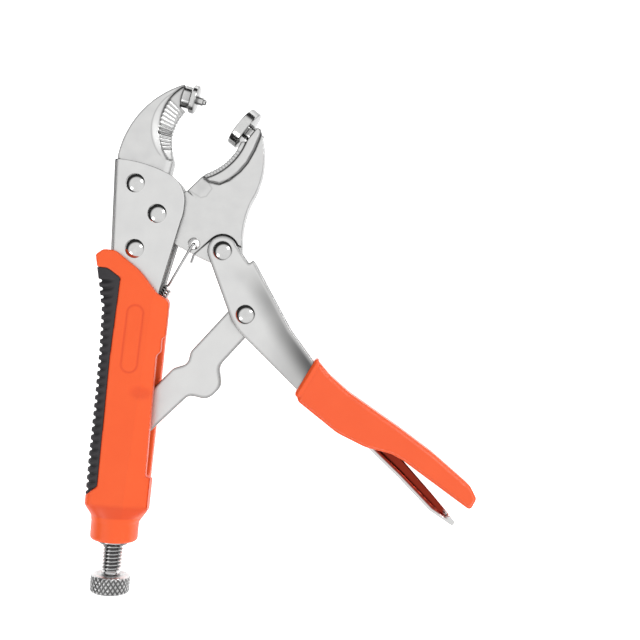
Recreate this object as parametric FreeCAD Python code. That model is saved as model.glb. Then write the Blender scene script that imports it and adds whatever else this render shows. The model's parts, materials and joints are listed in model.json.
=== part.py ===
"""Locking snap setter pliers with a flaring punch and a cup die, lying on their side.

Drawing frame, in millimetres: X = 0 is the axis of the adjusting screw, Y = 0 is the jaw pivot,
Z = 0 is the mid-plane of every plate. +Y runs along the fixed handle towards the jaws, +X points to
the moving handle. The finished shapes are shifted so that the origin is the bottom centre of the box.
"""
import FreeCAD, Part
import math
import os

V = FreeCAD.Vector
UP = V(0, 0, 1)

# ---------------------------------------------------------------- driving dimensions
# Linkage pivots
JAW_PIVOT = V(8.9, 0.0, 0)
LEVER_PIVOT = V(41.5, -15.0, 0)
LINK_PIVOT = V(55.1, -44.7, 0)
NOSE_PIVOT = V(0.0, -114.7, 0)

# Thicknesses and plays
JAW_THICK = 12.0
HANDLE_SHEET = 2.5
LEVER_SHEET = 2.0
TAIL_THICK = 9.0
LINK_THICK = 6.0
SIDE_PLAY = 0.15
RUNNING_CLEARANCE = 0.05
PRESSED_CLEARANCE = 0.02

# Rivets
RIVET_HEAD_R = 4.6
RIVET_HEAD_H = 1.9
RIVET_SHANK_R = 3.0
PIVOT_SHANK_R = 3.5
HUB_R = 8.0
HUB_CLEARANCE = 0.6

# Fixed handle channel and its grip
CHANNEL_TOP_Y = 24.7
HANDLE_TAIL = 30.3
CHANNEL_BEND_R = 3.0
GRIP_THICK = 24.0
GRIP_EDGE_R = 4.5
LOWER_WALL_SETBACK = 2.3
NECK_LENGTH = 14.4
NECK_WALL = 3.8
SLOT_CLEARANCE = 1.6
RIB_PITCH = 3.85
RIB_DEPTH = 1.3
RIB_GROOVE = 1.5

# Adjusting screw, nut and knob
SCREW_R = 5.0
SCREW_TIP_GAP = 4.0
NOSE_R = 5.0
NUT_WALL = 2.7
NUT_SHOWING = 2.0
NUT_BLOCK_LENGTH = 17.0
NUT_BLOCK_WALL = 1.7
THREAD_SHOWING = 14.8
KNOB_R = 9.7
KNOB_LENGTH = 9.2
KNOB_EDGE_R = 1.6
KNOB_CAP = 2.0
SCREW_TAIL_R = 3.0
COLLAR_R = 4.6
COLLAR_LENGTH = 1.8

# Punch and cup dies, described where they face each other at the lock
DIE_MEETING_POINT = V(23.2, 57.2, 0)
DIE_AXIS_DEG = -12.1
DIE_GAP = 1.6
PUNCH_R = 2.0
PUNCH_REACH = 4.6
PUNCH_NECK_R = 1.4
PUNCH_STEP = 1.5
PUNCH_TAIL = 5.0
PUNCH_TAIL_R = 1.5
HOLDER_FLANGE_R = 7.0
HOLDER_FLANGE_T = 3.0
HOLDER_COLLAR_R = 5.4
HOLDER_COLLAR_T = 3.9
HOLDER_STUD_R = 3.0
HOLDER_STUD_T = 3.8
CUP_R = 10.2
CUP_T = 5.0
CUP_RECESS_R = 6.4
CUP_RECESS_DEPTH = 3.4
CUP_STUD_R = 3.0
CUP_STUD_HEAD_T = 2.6
CUP_STUD_HEAD_R = 3.9
CUP_STUD_T = 5.0

# Jaw teeth
TOOTH_PITCH = 1.55
TOOTH_DEPTH = 0.7
FIXED_TEETH = 13
MOVING_TEETH = 13

# Lever, its dipped grip and the release lever
LEVER_TOP_R = 7.3
LEVER_GRIP_THICK = 18.6
LEVER_GRIP_EDGE = 1.2
LINK_HUB_R = 7.4
RELEASE_PIVOT = V(105.0, -88.0, 0)
RELEASE_PIN_R = 1.5
RELEASE_SHEET = 1.2
RELEASE_HALF = 4.3
RELEASE_LIP = 1.6

# Opening spring of the jaw
SPRING_HOLE = V(27.4, -12.8, 0)
SPRING_HOLE_R = 2.65
SPRING_WIRE_R = 0.7
SPRING_COIL_R = 2.5
SPRING_TURNS = 18
SPRING_COIL_TOP = V(15.8, -35.5, 0)
ANCHOR_HOLE_R = 1.6
ANCHOR_THICK = 2.5
ANCHOR_REACH = 2.6

# ---------------------------------------------------------------- worked-out sizes
JAW_HALF = JAW_THICK / 2
MOVING_HALF = JAW_HALF - SIDE_PLAY
HANDLE_HALF = JAW_HALF + HANDLE_SHEET
TAIL_HALF = TAIL_THICK / 2
LEVER_GAP_HALF = TAIL_HALF + SIDE_PLAY
LEVER_HALF = LEVER_GAP_HALF + LEVER_SHEET
GRIP_HALF = GRIP_THICK / 2
LEVER_GRIP_HALF = LEVER_GRIP_THICK / 2
SLOT_HALF = LINK_THICK / 2 + SLOT_CLEARANCE
CHANNEL_END_Y = NOSE_PIVOT.y - HANDLE_TAIL
NECK_TOP_Y = CHANNEL_END_Y - 5.0
GRIP_END_Y = CHANNEL_END_Y - NECK_LENGTH
NUT_END_Y = GRIP_END_Y - NUT_SHOWING
NUT_FLANGE_R = SCREW_R + NUT_WALL
NECK_R = NUT_FLANGE_R + NECK_WALL
KNOB_TOP_Y = NUT_END_Y - THREAD_SHOWING
THROUGH = 20.0


def angle_of(vector):
    """Direction of a vector in the XY plane, in degrees."""
    return math.degrees(math.atan2(vector.y, vector.x))


def turned(vector, degrees):
    """A vector turned about +Z."""
    return FreeCAD.Rotation(UP, degrees).multVec(vector)


def lock_angles():
    """Turns of jaw, lever and link from rest to the over-centre line, where three pivots align."""
    jaw_arm = LEVER_PIVOT - JAW_PIVOT
    base = NOSE_PIVOT - JAW_PIVOT
    reach = (LINK_PIVOT - LEVER_PIVOT).Length + (NOSE_PIVOT - LINK_PIVOT).Length
    cosine = (jaw_arm.Length ** 2 + base.Length ** 2 - reach ** 2) / (2 * jaw_arm.Length * base.Length)
    jaw = math.degrees(math.acos(cosine)) - (angle_of(jaw_arm) - angle_of(base))
    lever_pivot = JAW_PIVOT + turned(jaw_arm, jaw)
    line = angle_of(NOSE_PIVOT - lever_pivot)
    lever = line - angle_of(LINK_PIVOT - LEVER_PIVOT)
    link = line - angle_of(NOSE_PIVOT - LINK_PIVOT)
    return jaw, lever, link


LOCK_JAW, LOCK_LEVER, LOCK_LINK = lock_angles()


# ---------------------------------------------------------------- drawing helpers
def corner_cut(before, corner, after, radius):
    """Tangent points and middle of the arc that rounds one corner."""
    a = (before - corner).normalize()
    b = (after - corner).normalize()
    half = a.getAngle(b) / 2
    run = radius / math.tan(half)
    middle_dir = (a + b).normalize()
    middle = corner + middle_dir * (radius / math.sin(half) - radius)
    return corner + a * run, middle, corner + b * run


def outline(items):
    """Closed wire through corners (x, y) or (x, y, radius); ("via", x, y) bends a side into an arc."""
    corners = [item for item in items if item[0] != "via"]
    points = [V(c[0], c[1], 0) for c in corners]
    radii = [c[2] if len(c) > 2 else 0 for c in corners]
    count = len(corners)
    vias = {}
    seen = -1
    for item in items:
        if item[0] == "via":
            vias[seen] = V(item[1], item[2], 0)
        else:
            seen += 1
    starts, ends, edges = [], [], []
    for i in range(count):
        if radii[i] > 0:
            start, middle, end = corner_cut(points[i - 1], points[i], points[(i + 1) % count], radii[i])
            edges.append(Part.Arc(start, middle, end).toShape())
        else:
            start = end = points[i]
        starts.append(start)
        ends.append(end)
    for i in range(count):
        a, b = ends[i], starts[(i + 1) % count]
        if i in vias:
            edges.append(Part.Arc(a, vias[i], b).toShape())
        else:
            edges.append(Part.LineSegment(a, b).toShape())
    return Part.Wire(Part.__sortEdges__(edges))


def slab(items, low, high):
    """Plate of the given outline between two heights."""
    face = Part.Face(outline(items))
    face.translate(V(0, 0, low))
    return face.extrude(V(0, 0, high - low))


def plate(items, half):
    """Plate of the given outline, centred on the mid-plane."""
    return slab(items, -half, half)


def both_sides(shape):
    """A shape with its mirror image below the mid-plane."""
    return Part.makeCompound([shape, shape.mirror(V(0, 0, 0), UP)])


def upright(centre, radius, low, high):
    """Cylinder along Z."""
    return Part.makeCylinder(radius, high - low, V(centre.x, centre.y, low), UP)


def rod(start, direction, radius, length):
    """Cylinder from a point along any direction."""
    return Part.makeCylinder(radius, length, start, direction)


def shifted(points, distance):
    """An open line moved sideways, to its right, by a distance."""
    moved = []
    for i, point in enumerate(points):
        before = points[max(i - 1, 0)]
        after = points[min(i + 1, len(points) - 1)]
        run = V(after[0] - before[0], after[1] - before[1], 0).normalize()
        moved.append((point[0] + run.y * distance, point[1] - run.x * distance))
    return moved


def turned_profile(points, start, direction):
    """Solid of revolution from (along, radius) points about an axis through start."""
    side = direction.cross(UP).normalize()
    loop = [start + direction * a + side * r for a, r in points]
    face = Part.Face(Part.makePolygon(loop + [loop[0]]))
    return face.revolve(start, direction, 360)


def wire_rod(points, radius):
    """Bent round wire: straight runs with a ball at each bend."""
    pieces = []
    for i in range(len(points) - 1):
        run = points[i + 1] - points[i]
        pieces.append(rod(points[i], run, radius, run.Length))
        if i:
            pieces.append(Part.makeSphere(radius, points[i]))
    return pieces[0].fuse(pieces[1:]).removeSplitter()


def bevel_strip(start, end, inward, width, depth, half):
    """Cutters that bevel both faces of a plate along a straight edge."""
    run = (end - start).normalize()
    outer = start - run * 1.0
    lean = depth / width
    base = outer - inward * 1.0
    corners = [
        base + V(0, 0, half + 1.0),
        base + V(0, 0, half - depth - lean),
        outer + inward * width + V(0, 0, half),
        outer + inward * width + V(0, 0, half + 1.0),
    ]
    face = Part.Face(Part.makePolygon(corners + [corners[0]]))
    return both_sides(face.extrude(run * ((end - start).Length + 2.0)))


def tooth_cutters(centre, radius, first_deg, count, flat_half, slope_run, slope_rise):
    """V grooves across a concave toothed edge and up its two sloping sides."""
    step = math.degrees(TOOTH_PITCH / radius)
    half_width = TOOTH_PITCH * 0.47
    cutters = []
    for i in range(count):
        out = turned(V(1, 0, 0), first_deg + i * step)
        side = turned(out, 90)
        root = centre + out * (radius + TOOTH_DEPTH)
        mouth = centre + out * (radius - 0.4)
        middle = [mouth + side * half_width, root, mouth - side * half_width]
        face = Part.Face(Part.makePolygon(middle + [middle[0]]))
        face.translate(V(0, 0, -flat_half))
        cutters.append(face.extrude(V(0, 0, 2 * flat_half)))
        climb = out * slope_run + V(0, 0, slope_rise)
        normal = (V(0, 0, slope_run) - out * slope_rise).normalize()
        edge = centre + out * radius + V(0, 0, flat_half)
        sloped = [edge + normal * 0.3 + side * half_width, edge - normal * TOOTH_DEPTH,
                  edge + normal * 0.3 - side * half_width]
        face = Part.Face(Part.makePolygon(sloped + [sloped[0]]))
        face.translate(climb * -0.1)
        prism = face.extrude(climb * 1.1)
        cutters.append(prism)
        cutters.append(prism.mirror(V(0, 0, 0), UP))
    return cutters


# ---------------------------------------------------------------- fixed handle
SPINE_TOP_X = -14.0
SPINE_KNEE = (-12.2, -18.3)
SPINE_LOW_X = -9.6
SPINE_LOW_Y = -60.0
CHANNEL_RIGHT_X = 10.5


def channel_outline():
    """Side view of the folded handle channel, spine on the left."""
    return [
        (SPINE_TOP_X, CHANNEL_TOP_Y), ("via", 1.5, 23.2), (14.4, 18.8),
        ("via", 20.7, 11.4), (21.6, 4.5), ("via", 21.4, 0.9), (20.6, -2.4),
        (13.0, -37.3), (CHANNEL_RIGHT_X, -52.0, 20), (CHANNEL_RIGHT_X, CHANNEL_END_Y),
        (SPINE_LOW_X, CHANNEL_END_Y), (SPINE_LOW_X, SPINE_LOW_Y), SPINE_KNEE,
    ]


def channel_cavity():
    """Space between the plates: everything right of the spine's inner face."""
    sheet = HANDLE_SHEET
    return [
        (SPINE_TOP_X + sheet, CHANNEL_TOP_Y + 5), (60, CHANNEL_TOP_Y + 5), (60, CHANNEL_END_Y - 5),
        (SPINE_LOW_X + sheet, CHANNEL_END_Y - 5), (SPINE_LOW_X + sheet, SPINE_LOW_Y),
        (SPINE_KNEE[0] + sheet, SPINE_KNEE[1]),
    ]


UPPER_RIVET = V(-2.7, 13.7, 0)
LOWER_RIVET = V(-0.4, -17.7, 0)
SPRING_RUN = (SPRING_COIL_TOP - SPRING_HOLE).normalize()
COIL_LENGTH = SPRING_TURNS * 2 * SPRING_WIRE_R
SPRING_COIL_END = SPRING_COIL_TOP + SPRING_RUN * COIL_LENGTH
ANCHOR_HOLE = SPRING_COIL_END + SPRING_RUN * 11.0


def handle_channel():
    """Folded sheet channel with a lanced tab for the spring."""
    body = plate(channel_outline(), HANDLE_HALF)
    spine = [e for e in body.Edges
             if e.BoundBox.ZLength < 0.01 and e.BoundBox.XMax < SPINE_LOW_X + 0.01]
    body = body.makeFillet(CHANNEL_BEND_R, spine)
    body = body.cut(plate(channel_cavity(), JAW_HALF))
    tab_left = SPINE_LOW_X + HANDLE_SHEET / 2
    tab = Part.makeBox(ANCHOR_HOLE.x + ANCHOR_REACH - tab_left, 2 * ANCHOR_REACH + 1, ANCHOR_THICK,
                       V(tab_left, ANCHOR_HOLE.y - ANCHOR_REACH - 0.5, -ANCHOR_THICK / 2))
    body = body.fuse(tab).removeSplitter()
    rivet_r = RIVET_SHANK_R + PRESSED_CLEARANCE
    holes = [upright(p, rivet_r, -THROUGH, THROUGH) for p in (UPPER_RIVET, LOWER_RIVET)]
    holes.append(upright(JAW_PIVOT, PIVOT_SHANK_R + PRESSED_CLEARANCE, -THROUGH, THROUGH))
    holes.append(upright(ANCHOR_HOLE, ANCHOR_HOLE_R, -3, 3))
    return body.cut(holes)


def dome_rivet(centre, half, shank_r):
    """Rivet with a domed head on both faces of a stack of the given half thickness."""
    head = []
    for side in (1, -1):
        ball_r = (RIVET_HEAD_R ** 2 + RIVET_HEAD_H ** 2) / (2 * RIVET_HEAD_H)
        face = centre + V(0, 0, side * half)
        ball = Part.makeSphere(ball_r, face + V(0, 0, side * (RIVET_HEAD_H - ball_r)))
        disc = Part.makeCylinder(RIVET_HEAD_R + 1, RIVET_HEAD_H + 1, face, V(0, 0, side))
        head.append(ball.common(disc))
    return upright(centre, shank_r, -half, half).fuse(head).removeSplitter()


# ---------------------------------------------------------------- fixed jaw
FIXED_MOUTH = V(34.8, 35.7, 0)
FIXED_MOUTH_R = 23.0
FIXED_SLOPE_CENTRE = V(30.0, 42.4, 0)
FIXED_SLOPE_R = 24.4
FIXED_BAND_CENTRE = V(22.4, 42.2, 0)
FIXED_BAND_R = 20.0
BAND_Z = JAW_HALF - 1.3
CREST_Z = 1.6
SLOPE_WIDTH = 6.6


def die_direction():
    """Axis of the punch, towards the cup."""
    return turned(V(1, 0, 0), DIE_AXIS_DEG)


def punch_face():
    """Centre of the holder's front face."""
    return DIE_MEETING_POINT - die_direction() * (DIE_GAP / 2)


def fixed_jaw_seat():
    """Point on the punch axis where the holder's collar meets the jaw tip."""
    return punch_face() - die_direction() * (HOLDER_FLANGE_T + HOLDER_COLLAR_T)


def fixed_jaw():
    """Curved jaw whose tang is riveted between the handle plates."""
    axis = die_direction()
    across = turned(axis, 90)
    seat = fixed_jaw_seat()
    top = seat + across * 4.9
    low = seat - across * 5.6
    body = plate([
        (-12.8, 26.8), ("via", -5.0, 46.6), (top.x, top.y), (low.x, low.y), (low.x + 2.6, low.y - 2.2),
        ("via", 11.82, 36.0), (13.0, 28.9), (13.9, 26.2), (12.8, 20.1), (2.5, 9.0, 4), (1.0, -4.0, 4),
        (4.2, -12.0, 4), (4.2, -21.5, 3), (SPINE_KNEE[0] + HANDLE_SHEET / 2, -24.0),
    ], JAW_HALF)
    band = Part.makeCone(FIXED_BAND_R - 3.6, FIXED_BAND_R, JAW_HALF - BAND_Z,
                         FIXED_BAND_CENTRE + V(0, 0, BAND_Z))
    slope = Part.makeCone(FIXED_SLOPE_R - SLOPE_WIDTH, FIXED_SLOPE_R, BAND_Z - CREST_Z,
                          FIXED_SLOPE_CENTRE + V(0, 0, CREST_Z))
    above = upright(FIXED_SLOPE_CENTRE, FIXED_SLOPE_R, BAND_Z, JAW_HALF + 1)
    tip_guard = Part.makeBox(60, 14, 40, V(8, 26.4 - 14, -20))
    cut = band.fuse([slope, above]).cut(tip_guard)
    body = body.cut(both_sides(cut))
    body = body.cut(tooth_cutters(FIXED_MOUTH, FIXED_MOUTH_R, 141.5, FIXED_TEETH, CREST_Z,
                                  SLOPE_WIDTH, BAND_Z - CREST_Z))
    body = body.cut(bevel_strip(V(13.9, 26.2, 0), V(12.8, 20.1, 0), V(-1, 0.15, 0).normalize(),
                                3.0, 1.0, JAW_HALF))
    body = body.cut(rod(seat + axis, axis * -1, HOLDER_STUD_R + PRESSED_CLEARANCE, HOLDER_STUD_T + 1.2))
    body = body.cut([upright(p, RIVET_SHANK_R + PRESSED_CLEARANCE, -THROUGH, THROUGH)
                     for p in (UPPER_RIVET, LOWER_RIVET)])
    body = body.cut(upright(JAW_PIVOT, HUB_R + HUB_CLEARANCE, -THROUGH, THROUGH))
    return body.cut(CHANNEL)


def punch_holder():
    """Flanged holder screwed into the fixed jaw's tip, bored for the punch."""
    axis = die_direction()
    seat = fixed_jaw_seat()
    body = rod(seat, axis, HOLDER_COLLAR_R, HOLDER_COLLAR_T)
    body = body.fuse([
        rod(seat + axis * HOLDER_COLLAR_T, axis, HOLDER_FLANGE_R, HOLDER_FLANGE_T),
        rod(seat, axis * -1, HOLDER_STUD_R, HOLDER_STUD_T),
    ]).removeSplitter()
    rims = [e for e in body.Edges if abs(e.Length - 2 * math.pi * HOLDER_FLANGE_R) < 0.1]
    body = body.makeChamfer(0.5, rims)
    bore_start = punch_face() - axis * PUNCH_TAIL
    return body.cut(rod(bore_start, axis, PUNCH_TAIL_R + PRESSED_CLEARANCE, PUNCH_TAIL + 1))


def flaring_punch():
    """Stepped pin that flares the snap's post."""
    axis = die_direction()
    front = PUNCH_REACH
    step = front - PUNCH_STEP
    profile = [
        (-PUNCH_TAIL, 0), (-PUNCH_TAIL, PUNCH_TAIL_R), (0, PUNCH_TAIL_R), (0, PUNCH_R), (step, PUNCH_R),
        (step, PUNCH_NECK_R), (front - 0.4, PUNCH_NECK_R), (front, PUNCH_NECK_R - 0.4), (front, 0),
    ]
    return turned_profile(profile, punch_face(), axis)


# ---------------------------------------------------------------- moving jaw
def opened(point):
    """A point of the moving jaw taken from its place at the lock to its place at rest."""
    return JAW_PIVOT + turned(point - JAW_PIVOT, -LOCK_JAW)


def cup_direction():
    """Axis of the cup die at rest, pointing out of the cup."""
    return turned(die_direction() * -1, -LOCK_JAW)


def cup_face():
    """Centre of the cup die's front face at rest."""
    return opened(DIE_MEETING_POINT + die_direction() * (DIE_GAP / 2))


def moving_jaw_seat():
    """Point on the cup's axis where its stud enters the jaw tip."""
    return cup_face() - cup_direction() * (CUP_T + CUP_STUD_HEAD_T)


MOVING_MOUTH = V(19.35, 47.67, 0)
MOVING_MOUTH_R = 27.9
GROOVE_Z = MOVING_HALF - 1.35


def moving_jaw():
    """Curved jaw with its pivot hub and a thinned tail that fits inside the lever."""
    axis = cup_direction()
    across = turned(axis, -90)
    seat = moving_jaw_seat()
    tip = seat + across * 8.2
    heel = seat - across * 4.6
    body = plate([
        (12.0, 6.6), (21.6, 12.2), (29.1, 20.7), (30.4, 22.0), ("via", 39.3, 28.1), (45.7, 38.6),
        (heel.x, heel.y), (tip.x, tip.y, 1.0), (54.6, 45.5), ("via", 57.76, 28.8), (54.9, 13.5),
        ("via", 51.0, 2.0), (50.4, -9.0), (50.8, -16.2, 3), (44.5, -22.3, 4), (38.0, -22.0, 3),
        (30.0, -19.0), (17.8, -13.8), (JAW_PIVOT.x - 2, -7.6),
    ], MOVING_HALF)
    body = body.fuse(upright(JAW_PIVOT, HUB_R, -MOVING_HALF, MOVING_HALF)).removeSplitter()
    recess = slab([
        (28.0, 21.4), (32.0, 17.9, 2.5), (37.0, 16.6, 5), (46.8, 24.0), ("via", 52.6, 34.2), (55.0, 43.0),
        (50.0, 60.0), (20.0, 60.0), (20.0, 30.0),
    ], GROOVE_Z, MOVING_HALF + 1)
    body = body.cut(both_sides(recess))
    body = body.cut(tooth_cutters(MOVING_MOUTH, MOVING_MOUTH_R, -67.0, MOVING_TEETH, GROOVE_Z, 0.4, 0.4))
    edge_dir = (V(29.1, 20.7, 0) - V(21.6, 12.2, 0)).normalize()
    body = body.cut(bevel_strip(V(22.6, 13.3, 0), V(28.4, 19.9, 0), turned(edge_dir, -90), 6.0, 1.0,
                                MOVING_HALF))
    p = LEVER_PIVOT
    pocket = upright(p, LEVER_TOP_R + 0.6, TAIL_HALF, MOVING_HALF + 1).fuse(slab([
        (p.x - 5.7, p.y + 5.5), (p.x - 23.0, p.y - 12.5), (p.x + 21.0, p.y - 15.0),
        (p.x + 16.0, p.y - 1.0), (p.x + 7.3, p.y + 3.4),
    ], TAIL_HALF, MOVING_HALF + 1))
    body = body.cut(both_sides(pocket))
    body = body.cut([
        upright(JAW_PIVOT, PIVOT_SHANK_R + RUNNING_CLEARANCE, -THROUGH, THROUGH),
        upright(LEVER_PIVOT, PIVOT_SHANK_R + RUNNING_CLEARANCE, -THROUGH, THROUGH),
        upright(SPRING_HOLE, SPRING_HOLE_R, -THROUGH, THROUGH),
        rod(seat + axis, axis * -1, CUP_STUD_R + PRESSED_CLEARANCE, CUP_STUD_T + 1.3),
    ])
    return body


def cup_die():
    """Round die whose recess holds the snap's cap."""
    axis = cup_direction()
    face = cup_face()
    lip = 0.6
    profile = [
        (-CUP_T, CUP_STUD_R + PRESSED_CLEARANCE), (-CUP_T, CUP_R - lip), (-CUP_T + lip, CUP_R),
        (-lip, CUP_R), (0, CUP_R - lip), (0, CUP_RECESS_R), (-CUP_RECESS_DEPTH, CUP_RECESS_R),
        (-CUP_RECESS_DEPTH, CUP_STUD_R + PRESSED_CLEARANCE),
    ]
    return turned_profile(profile, face, axis)


def cup_die_stud():
    """Shouldered stud that holds the cup die off the jaw tip."""
    axis = cup_direction()
    face = cup_face()
    floor = -CUP_RECESS_DEPTH - 0.1
    back = -CUP_T
    end = back - CUP_STUD_HEAD_T
    profile = [
        (floor, 0), (floor, CUP_STUD_R), (back, CUP_STUD_R), (back, CUP_STUD_HEAD_R),
        (end, CUP_STUD_HEAD_R), (end, CUP_STUD_R), (end - CUP_STUD_T, CUP_STUD_R), (end - CUP_STUD_T, 0),
    ]
    return turned_profile(profile, face, axis)


# ---------------------------------------------------------------- grip of the fixed handle
SLOT_END_Y = CHANNEL_END_Y + NUT_BLOCK_LENGTH + 0.5
INSERT_END_Y = CHANNEL_END_Y + 8.0
RIB_TOP_Y = -34.5
GRIP_BACK = [(-16.0, -32.0), (-13.6, -45.0), (-12.7, -66.0), (-13.0, -96.0), (-13.8, -122.0)]
INSERT_SEAM = [(-5.4, -32.3), (-7.2, -70.0), (-8.0, INSERT_END_Y + 4.6)]


def handle_grip_outline(setback):
    """Side view of the fixed grip above its neck, insert included, its open side moved in by a setback."""
    return [
        (-18.2, -22.2, 1.0), (-14.6, -19.2, 3), (-9.0, -19.4, 5), (3.6, -28.0, 30), (12.6, -38.2, 6),
        (18.5 - setback, -41.5, 4), (16.2 - setback, CHANNEL_END_Y + 2.2, 4), (NECK_R, NECK_TOP_Y, 3),
        (NECK_R, NECK_TOP_Y - 1),
        (-NECK_R, NECK_TOP_Y - 1), (-10.9, CHANNEL_END_Y - 2.0, 4), (-13.8, CHANNEL_END_Y + 3.0, 3),
    ] + GRIP_BACK[::-1]


def insert_region():
    """Region of the fixed grip that the soft insert takes up."""
    return [
        (-30.0, -27.8), (-11.8, -28.2, 4), INSERT_SEAM[0] + (1.0,), INSERT_SEAM[1], INSERT_SEAM[2] + (1.5,),
        (-13.4, INSERT_END_Y), (-30.0, INSERT_END_Y),
    ]


def grip_blank():
    """Whole grip before it is hollowed: a block with rounded long edges on a round neck."""
    section = Part.makeBox(33.0, 20 - GRIP_END_Y, GRIP_THICK, V(-14.0, GRIP_END_Y - 5, -GRIP_HALF))
    back_edges = [e for e in section.Edges if e.BoundBox.YLength > 100 and e.BoundBox.XMax < 0]
    section = section.makeFillet(GRIP_EDGE_R, back_edges)
    horn = Part.makeBox(20, 40, GRIP_THICK, V(-25.0, -45.0, -GRIP_HALF))
    upper = slab(handle_grip_outline(0.0), 0, GRIP_HALF)
    lower = slab(handle_grip_outline(LOWER_WALL_SETBACK), -GRIP_HALF, 0)
    body = upper.fuse(lower).removeSplitter().common(section.fuse(horn))
    neck = rod(V(0, GRIP_END_Y, 0), V(0, 1, 0), NECK_R, NECK_TOP_Y + 4 - GRIP_END_Y)
    rim = [e for e in neck.Edges if e.BoundBox.YMax < GRIP_END_Y + 0.1]
    return body.fuse(neck.makeFillet(1.5, rim)).removeSplitter()


def grip_void():
    """What the grip is hollowed by: channel, nut bore and the slot for the link."""
    channel = plate(channel_outline(), HANDLE_HALF)
    bore = rod(V(0, GRIP_END_Y - 5, 0), V(0, 1, 0), NUT_FLANGE_R, CHANNEL_END_Y - GRIP_END_Y + 6)
    slot = plate([(0, -20), (40, -20), (40, SLOT_END_Y), (0, SLOT_END_Y)], SLOT_HALF)
    return channel.fuse([bore, slot])


def near_wall_recess():
    """Stretch beside the slot where the wall on the upper side is cut back."""
    low = SLOT_END_Y + 1.0
    return slab([
        (16.4, -59.0), (30.0, -59.0), (30.0, low), (14.2, low), (14.4, -68.0), (16.4, -66.0),
    ], 0, GRIP_HALF + 1)


def grip_shell():
    """Hard shell of the fixed handle."""
    body = grip_blank().cut(plate(insert_region(), 50))
    return body.cut([grip_void(), near_wall_recess()])


def grip_insert():
    """Soft ribbed insert along the back of the fixed handle."""
    body = grip_blank().common(plate(insert_region(), 50)).cut(grip_void())
    left = -20.0
    grooves = []
    for i in range(int((RIB_TOP_Y - INSERT_END_Y - RIB_GROOVE) / RIB_PITCH) + 1):
        y = RIB_TOP_Y - i * RIB_PITCH
        corner = V(left, y - RIB_GROOVE / 2, -GRIP_THICK)
        grooves.append(Part.makeBox(rib_root_x(y) - left, RIB_GROOVE, 2 * GRIP_THICK, corner))
    return body.cut(grooves)


def rib_root_x(y):
    """X of the groove floors, a rib's depth inside the grip's back at height y."""
    for (x0, y0), (x1, y1) in zip(GRIP_BACK, GRIP_BACK[1:]):
        if y0 >= y >= y1:
            return x0 + (x1 - x0) * (y0 - y) / (y0 - y1) + RIB_DEPTH
    return GRIP_BACK[-1][0] + RIB_DEPTH


# ---------------------------------------------------------------- adjusting screw
def screw_nut():
    """Nut held between the plates, with a flared end below the grip."""
    half = SCREW_R + NUT_BLOCK_WALL
    block = Part.makeBox(2 * half, NUT_BLOCK_LENGTH, JAW_THICK, V(-half, CHANNEL_END_Y, -JAW_HALF))
    flange = rod(V(0, NUT_END_Y, 0), V(0, 1, 0), NUT_FLANGE_R, CHANNEL_END_Y - NUT_END_Y)
    rim = [e for e in flange.Edges if e.BoundBox.YMax < NUT_END_Y + 0.1]
    flange = flange.makeChamfer(1.1, rim)
    body = block.fuse(flange).removeSplitter()
    return body.cut(rod(V(0, NUT_END_Y - 1, 0), V(0, 1, 0), SCREW_R + RUNNING_CLEARANCE, 60))


def screw_tip_y():
    """Height of the screw's tip, clear of the link's nose over the whole travel."""
    return NOSE_PIVOT.y - NOSE_R - SCREW_TIP_GAP


def adjusting_screw():
    """Threaded rod with a domed tip and a plain collar at the knob."""
    foot = KNOB_TOP_Y + COLLAR_LENGTH
    body = rod(V(0, foot, 0), V(0, 1, 0), SCREW_R, screw_tip_y() - foot)
    tip = [e for e in body.Edges if e.BoundBox.YMin > screw_tip_y() - 0.1]
    body = body.makeFillet(2.0, tip)
    tail_length = KNOB_LENGTH - KNOB_CAP
    tail = rod(V(0, KNOB_TOP_Y - tail_length, 0), V(0, 1, 0), SCREW_TAIL_R, tail_length)
    collar = rod(V(0, KNOB_TOP_Y, 0), V(0, 1, 0), COLLAR_R, COLLAR_LENGTH)
    return body.fuse([collar, tail]).removeSplitter()


def adjusting_knob():
    """Round knob bored for the screw's tail."""
    body = rod(V(0, KNOB_TOP_Y - KNOB_LENGTH, 0), V(0, 1, 0), KNOB_R, KNOB_LENGTH)
    rims = [e for e in body.Edges if e.BoundBox.YLength < 0.01]
    body = body.makeFillet(KNOB_EDGE_R, rims)
    return body.cut(rod(V(0, KNOB_TOP_Y - KNOB_LENGTH + KNOB_CAP, 0), V(0, 1, 0),
                        SCREW_TAIL_R + RUNNING_CLEARANCE, KNOB_LENGTH))


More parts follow.
